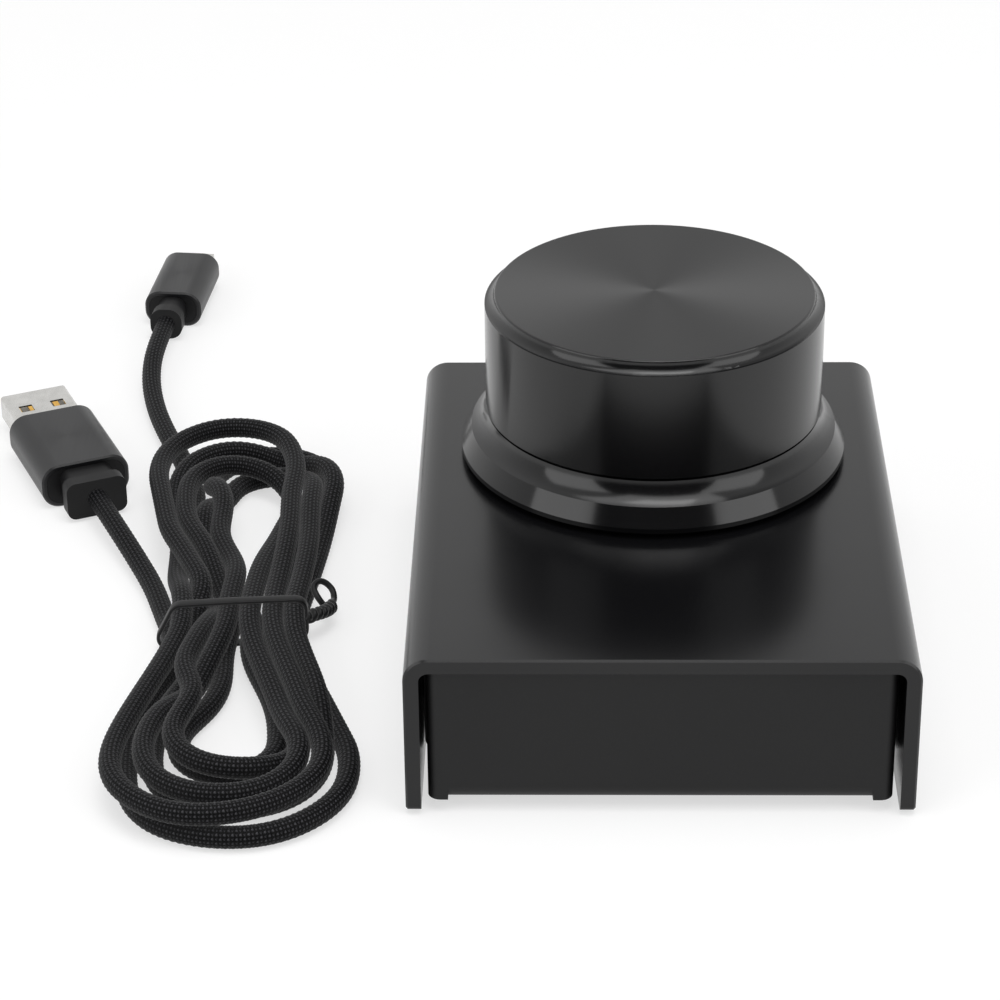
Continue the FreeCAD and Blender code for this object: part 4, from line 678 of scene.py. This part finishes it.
middle = shade.color_ramp.elements.new(0.4)
middle.color = linear("#09090A")
tree.links.new(shade.outputs[0], skin.inputs["Base Color"])
bump = add(tree, "Bump", {"Height": lift.outputs[0], "Strength": 0.7, "Distance": 0.12 * MM})
tree.links.new(bump.outputs[0], skin.inputs["Normal"])
finishes["braid"] = material
print("braid: crossings every", BRAID / MM / 2, "mm")

# %% Dress every part
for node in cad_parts.values():
    for slot in node.material_slots:
        slot.material = finishes[slot.material.name]
cord.data.materials.append(finishes["braid"])
for piece in [tie, *ends]:
    piece.data.materials.append(finishes["tie_plastic"])
for piece in [cord, tie, *ends]:
    piece.visible_glossy = False    # else the knob and the case mirror it as dark bars
print("dressed", len(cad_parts), "parts and", 2 + len(ends), "pieces")

# %% [markdown]
# ## Floor, surroundings and light
# The object stands on a white sheet in a pale room. The floor is an ordinary pale surface that
# takes the shadow, plus a little glow of its own for the camera and for reflections, so that it
# reaches white where no shadow falls. The room is pale too, but black glossy things need something
# dark to mirror: there is a dark gap in front, round the camera, the front half is dimmer
# than the rear, and the ceiling has a dim patch behind, which helps to draw the dark sectors on
# the knob.

# %% Floor
FAR, GLOW = 4, 0.62             # half the sheet's side in metres, strength of its glow
stand = bpy.data.meshes.new("floor")
stand.from_pydata([(-FAR, -FAR, 0), (FAR, -FAR, 0), (FAR, FAR, 0), (-FAR, FAR, 0)], [],
                  [(0, 1, 2, 3)])
floor = bpy.data.objects.new("floor", stand)
bpy.context.collection.objects.link(floor)

material, tree, skin, _ = start("white sheet", Roughness=0.9, Specular_IOR_Level=0.0)
skin.inputs["Base Color"].default_value = linear("#ABABAB")
rays = add(tree, "LightPath")
seen = add(tree, "Math", {0: rays.outputs["Is Camera Ray"], 1: rays.outputs["Is Glossy Ray"]},
           operation="MAXIMUM")
seen = add(tree, "Math", {0: seen.outputs[0], 1: rays.outputs["Is Transmission Ray"]},
           operation="MAXIMUM")
skin.inputs["Emission Color"].default_value = (1, 1, 1, 1)
glow = add(tree, "Math", {0: seen.outputs[0], 1: GLOW}, operation="MULTIPLY")
tree.links.new(glow.outputs[0], skin.inputs["Emission Strength"])
stand.materials.append(material)
print("floor glow for the camera:", GLOW)

# %% Surroundings
world = bpy.data.worlds.new("room")
bpy.context.scene.world = world
world.use_nodes = True
tree = world.node_tree
tree.nodes.clear()
look = add(tree, "TexCoord").outputs["Generated"]
GAP = np.radians(20)                  # elevation of the dark gap's middle, straight in front
toward = add(tree, "VectorMath", {0: look, 1: (0, -np.cos(GAP), np.sin(GAP))},
             operation="DOT_PRODUCT")
dark = add(tree, "MapRange", {0: toward.outputs["Value"], 1: 0.72, 2: 0.86, 3: 1.0, 4: 0.08},
           interpolation_type="SMOOTHSTEP")
DUSK = np.radians([165, 60])          # azimuth from the front to the right, elevation
ceiling = add(tree, "VectorMath", {0: look, 1: (np.sin(DUSK[0]) * np.cos(DUSK[1]),
                                                -np.cos(DUSK[0]) * np.cos(DUSK[1]),
                                                np.sin(DUSK[1]))}, operation="DOT_PRODUCT")
dusk = add(tree, "MapRange", {0: ceiling.outputs["Value"], 1: 0.85, 2: 0.95, 3: 1.0, 4: 0.45},
           interpolation_type="SMOOTHSTEP")
depth = add(tree, "SeparateXYZ", {0: look})
rear = add(tree, "MapRange", {0: depth.outputs["Y"], 1: -0.4, 2: 0.5, 3: 0.55, 4: 1.0})
rays = add(tree, "LightPath")
dim = add(tree, "Mix", {0: rays.outputs["Is Diffuse Ray"], 2: 1.0, 3: 0.6})
gaps = add(tree, "Math", {0: dark.outputs[0], 1: dusk.outputs[0]}, operation="MULTIPLY")
mirrored = add(tree, "Math", {0: gaps.outputs[0], 1: dim.outputs[0]}, operation="MULTIPLY")
shaded = add(tree, "Math", {0: mirrored.outputs[0], 1: rear.outputs[0]}, operation="MULTIPLY")
level_of = add(tree, "Mix", {0: rays.outputs["Is Camera Ray"], 2: shaded.outputs[0], 3: 1.0})
shine = add(tree, "Background", {"Color": (1, 1, 1, 1), "Strength": level_of.outputs[0]})
add(tree, "OutputWorld", {"Surface": shine.outputs[0]})
print("room: pale, with a dark gap round the camera and a dim patch of ceiling behind")

# %% Lamps
AWAY = 1.1                                    # of each lamp from the knob, in metres
KNOB = np.array([axis.x, axis.y, 0.04])       # about the middle of the knob


def lamp(name, azimuth, elevation, wide, tall, brightness):
    """A rectangular area lamp that faces the knob. azimuth counts from the front to the right,
    elevation from the table up, wide and tall are the angles it fills as the knob sees it, all in
    degrees. brightness is what a mirror shows of it: power = brightness pi width height."""
    light = bpy.data.lights.new(name, "AREA")
    light.shape = "RECTANGLE"
    light.size, light.size_y = 2 * AWAY * np.tan(np.radians([wide, tall]) / 2)
    light.energy = brightness * np.pi * light.size * light.size_y
    stand_in = bpy.data.objects.new(name, light)
    bpy.context.collection.objects.link(stand_in)
    turn, lift = np.radians([azimuth, elevation])
    back = np.array([np.sin(turn) * np.cos(lift), -np.cos(turn) * np.cos(lift), np.sin(lift)])
    side = np.array([np.cos(turn), np.sin(turn), 0])
    matrix = np.eye(4)
    matrix[:3] = np.stack([side, np.cross(back, side), back, KNOB + AWAY * back], axis=1)
    stand_in.matrix_world = Matrix(matrix.tolist())


lamp("softbox_above", 12, 77, 44, 52, 1.8)
lamp("softbox_core", 20, 80, 22, 20, 3.2)
lamp("softbox_right", 56, 24, 36, 48, 1.75)
lamp("softbox_left", -56, 24, 36, 48, 1.75)
scene = bpy.context.scene
scene.view_settings.view_transform = "Standard"
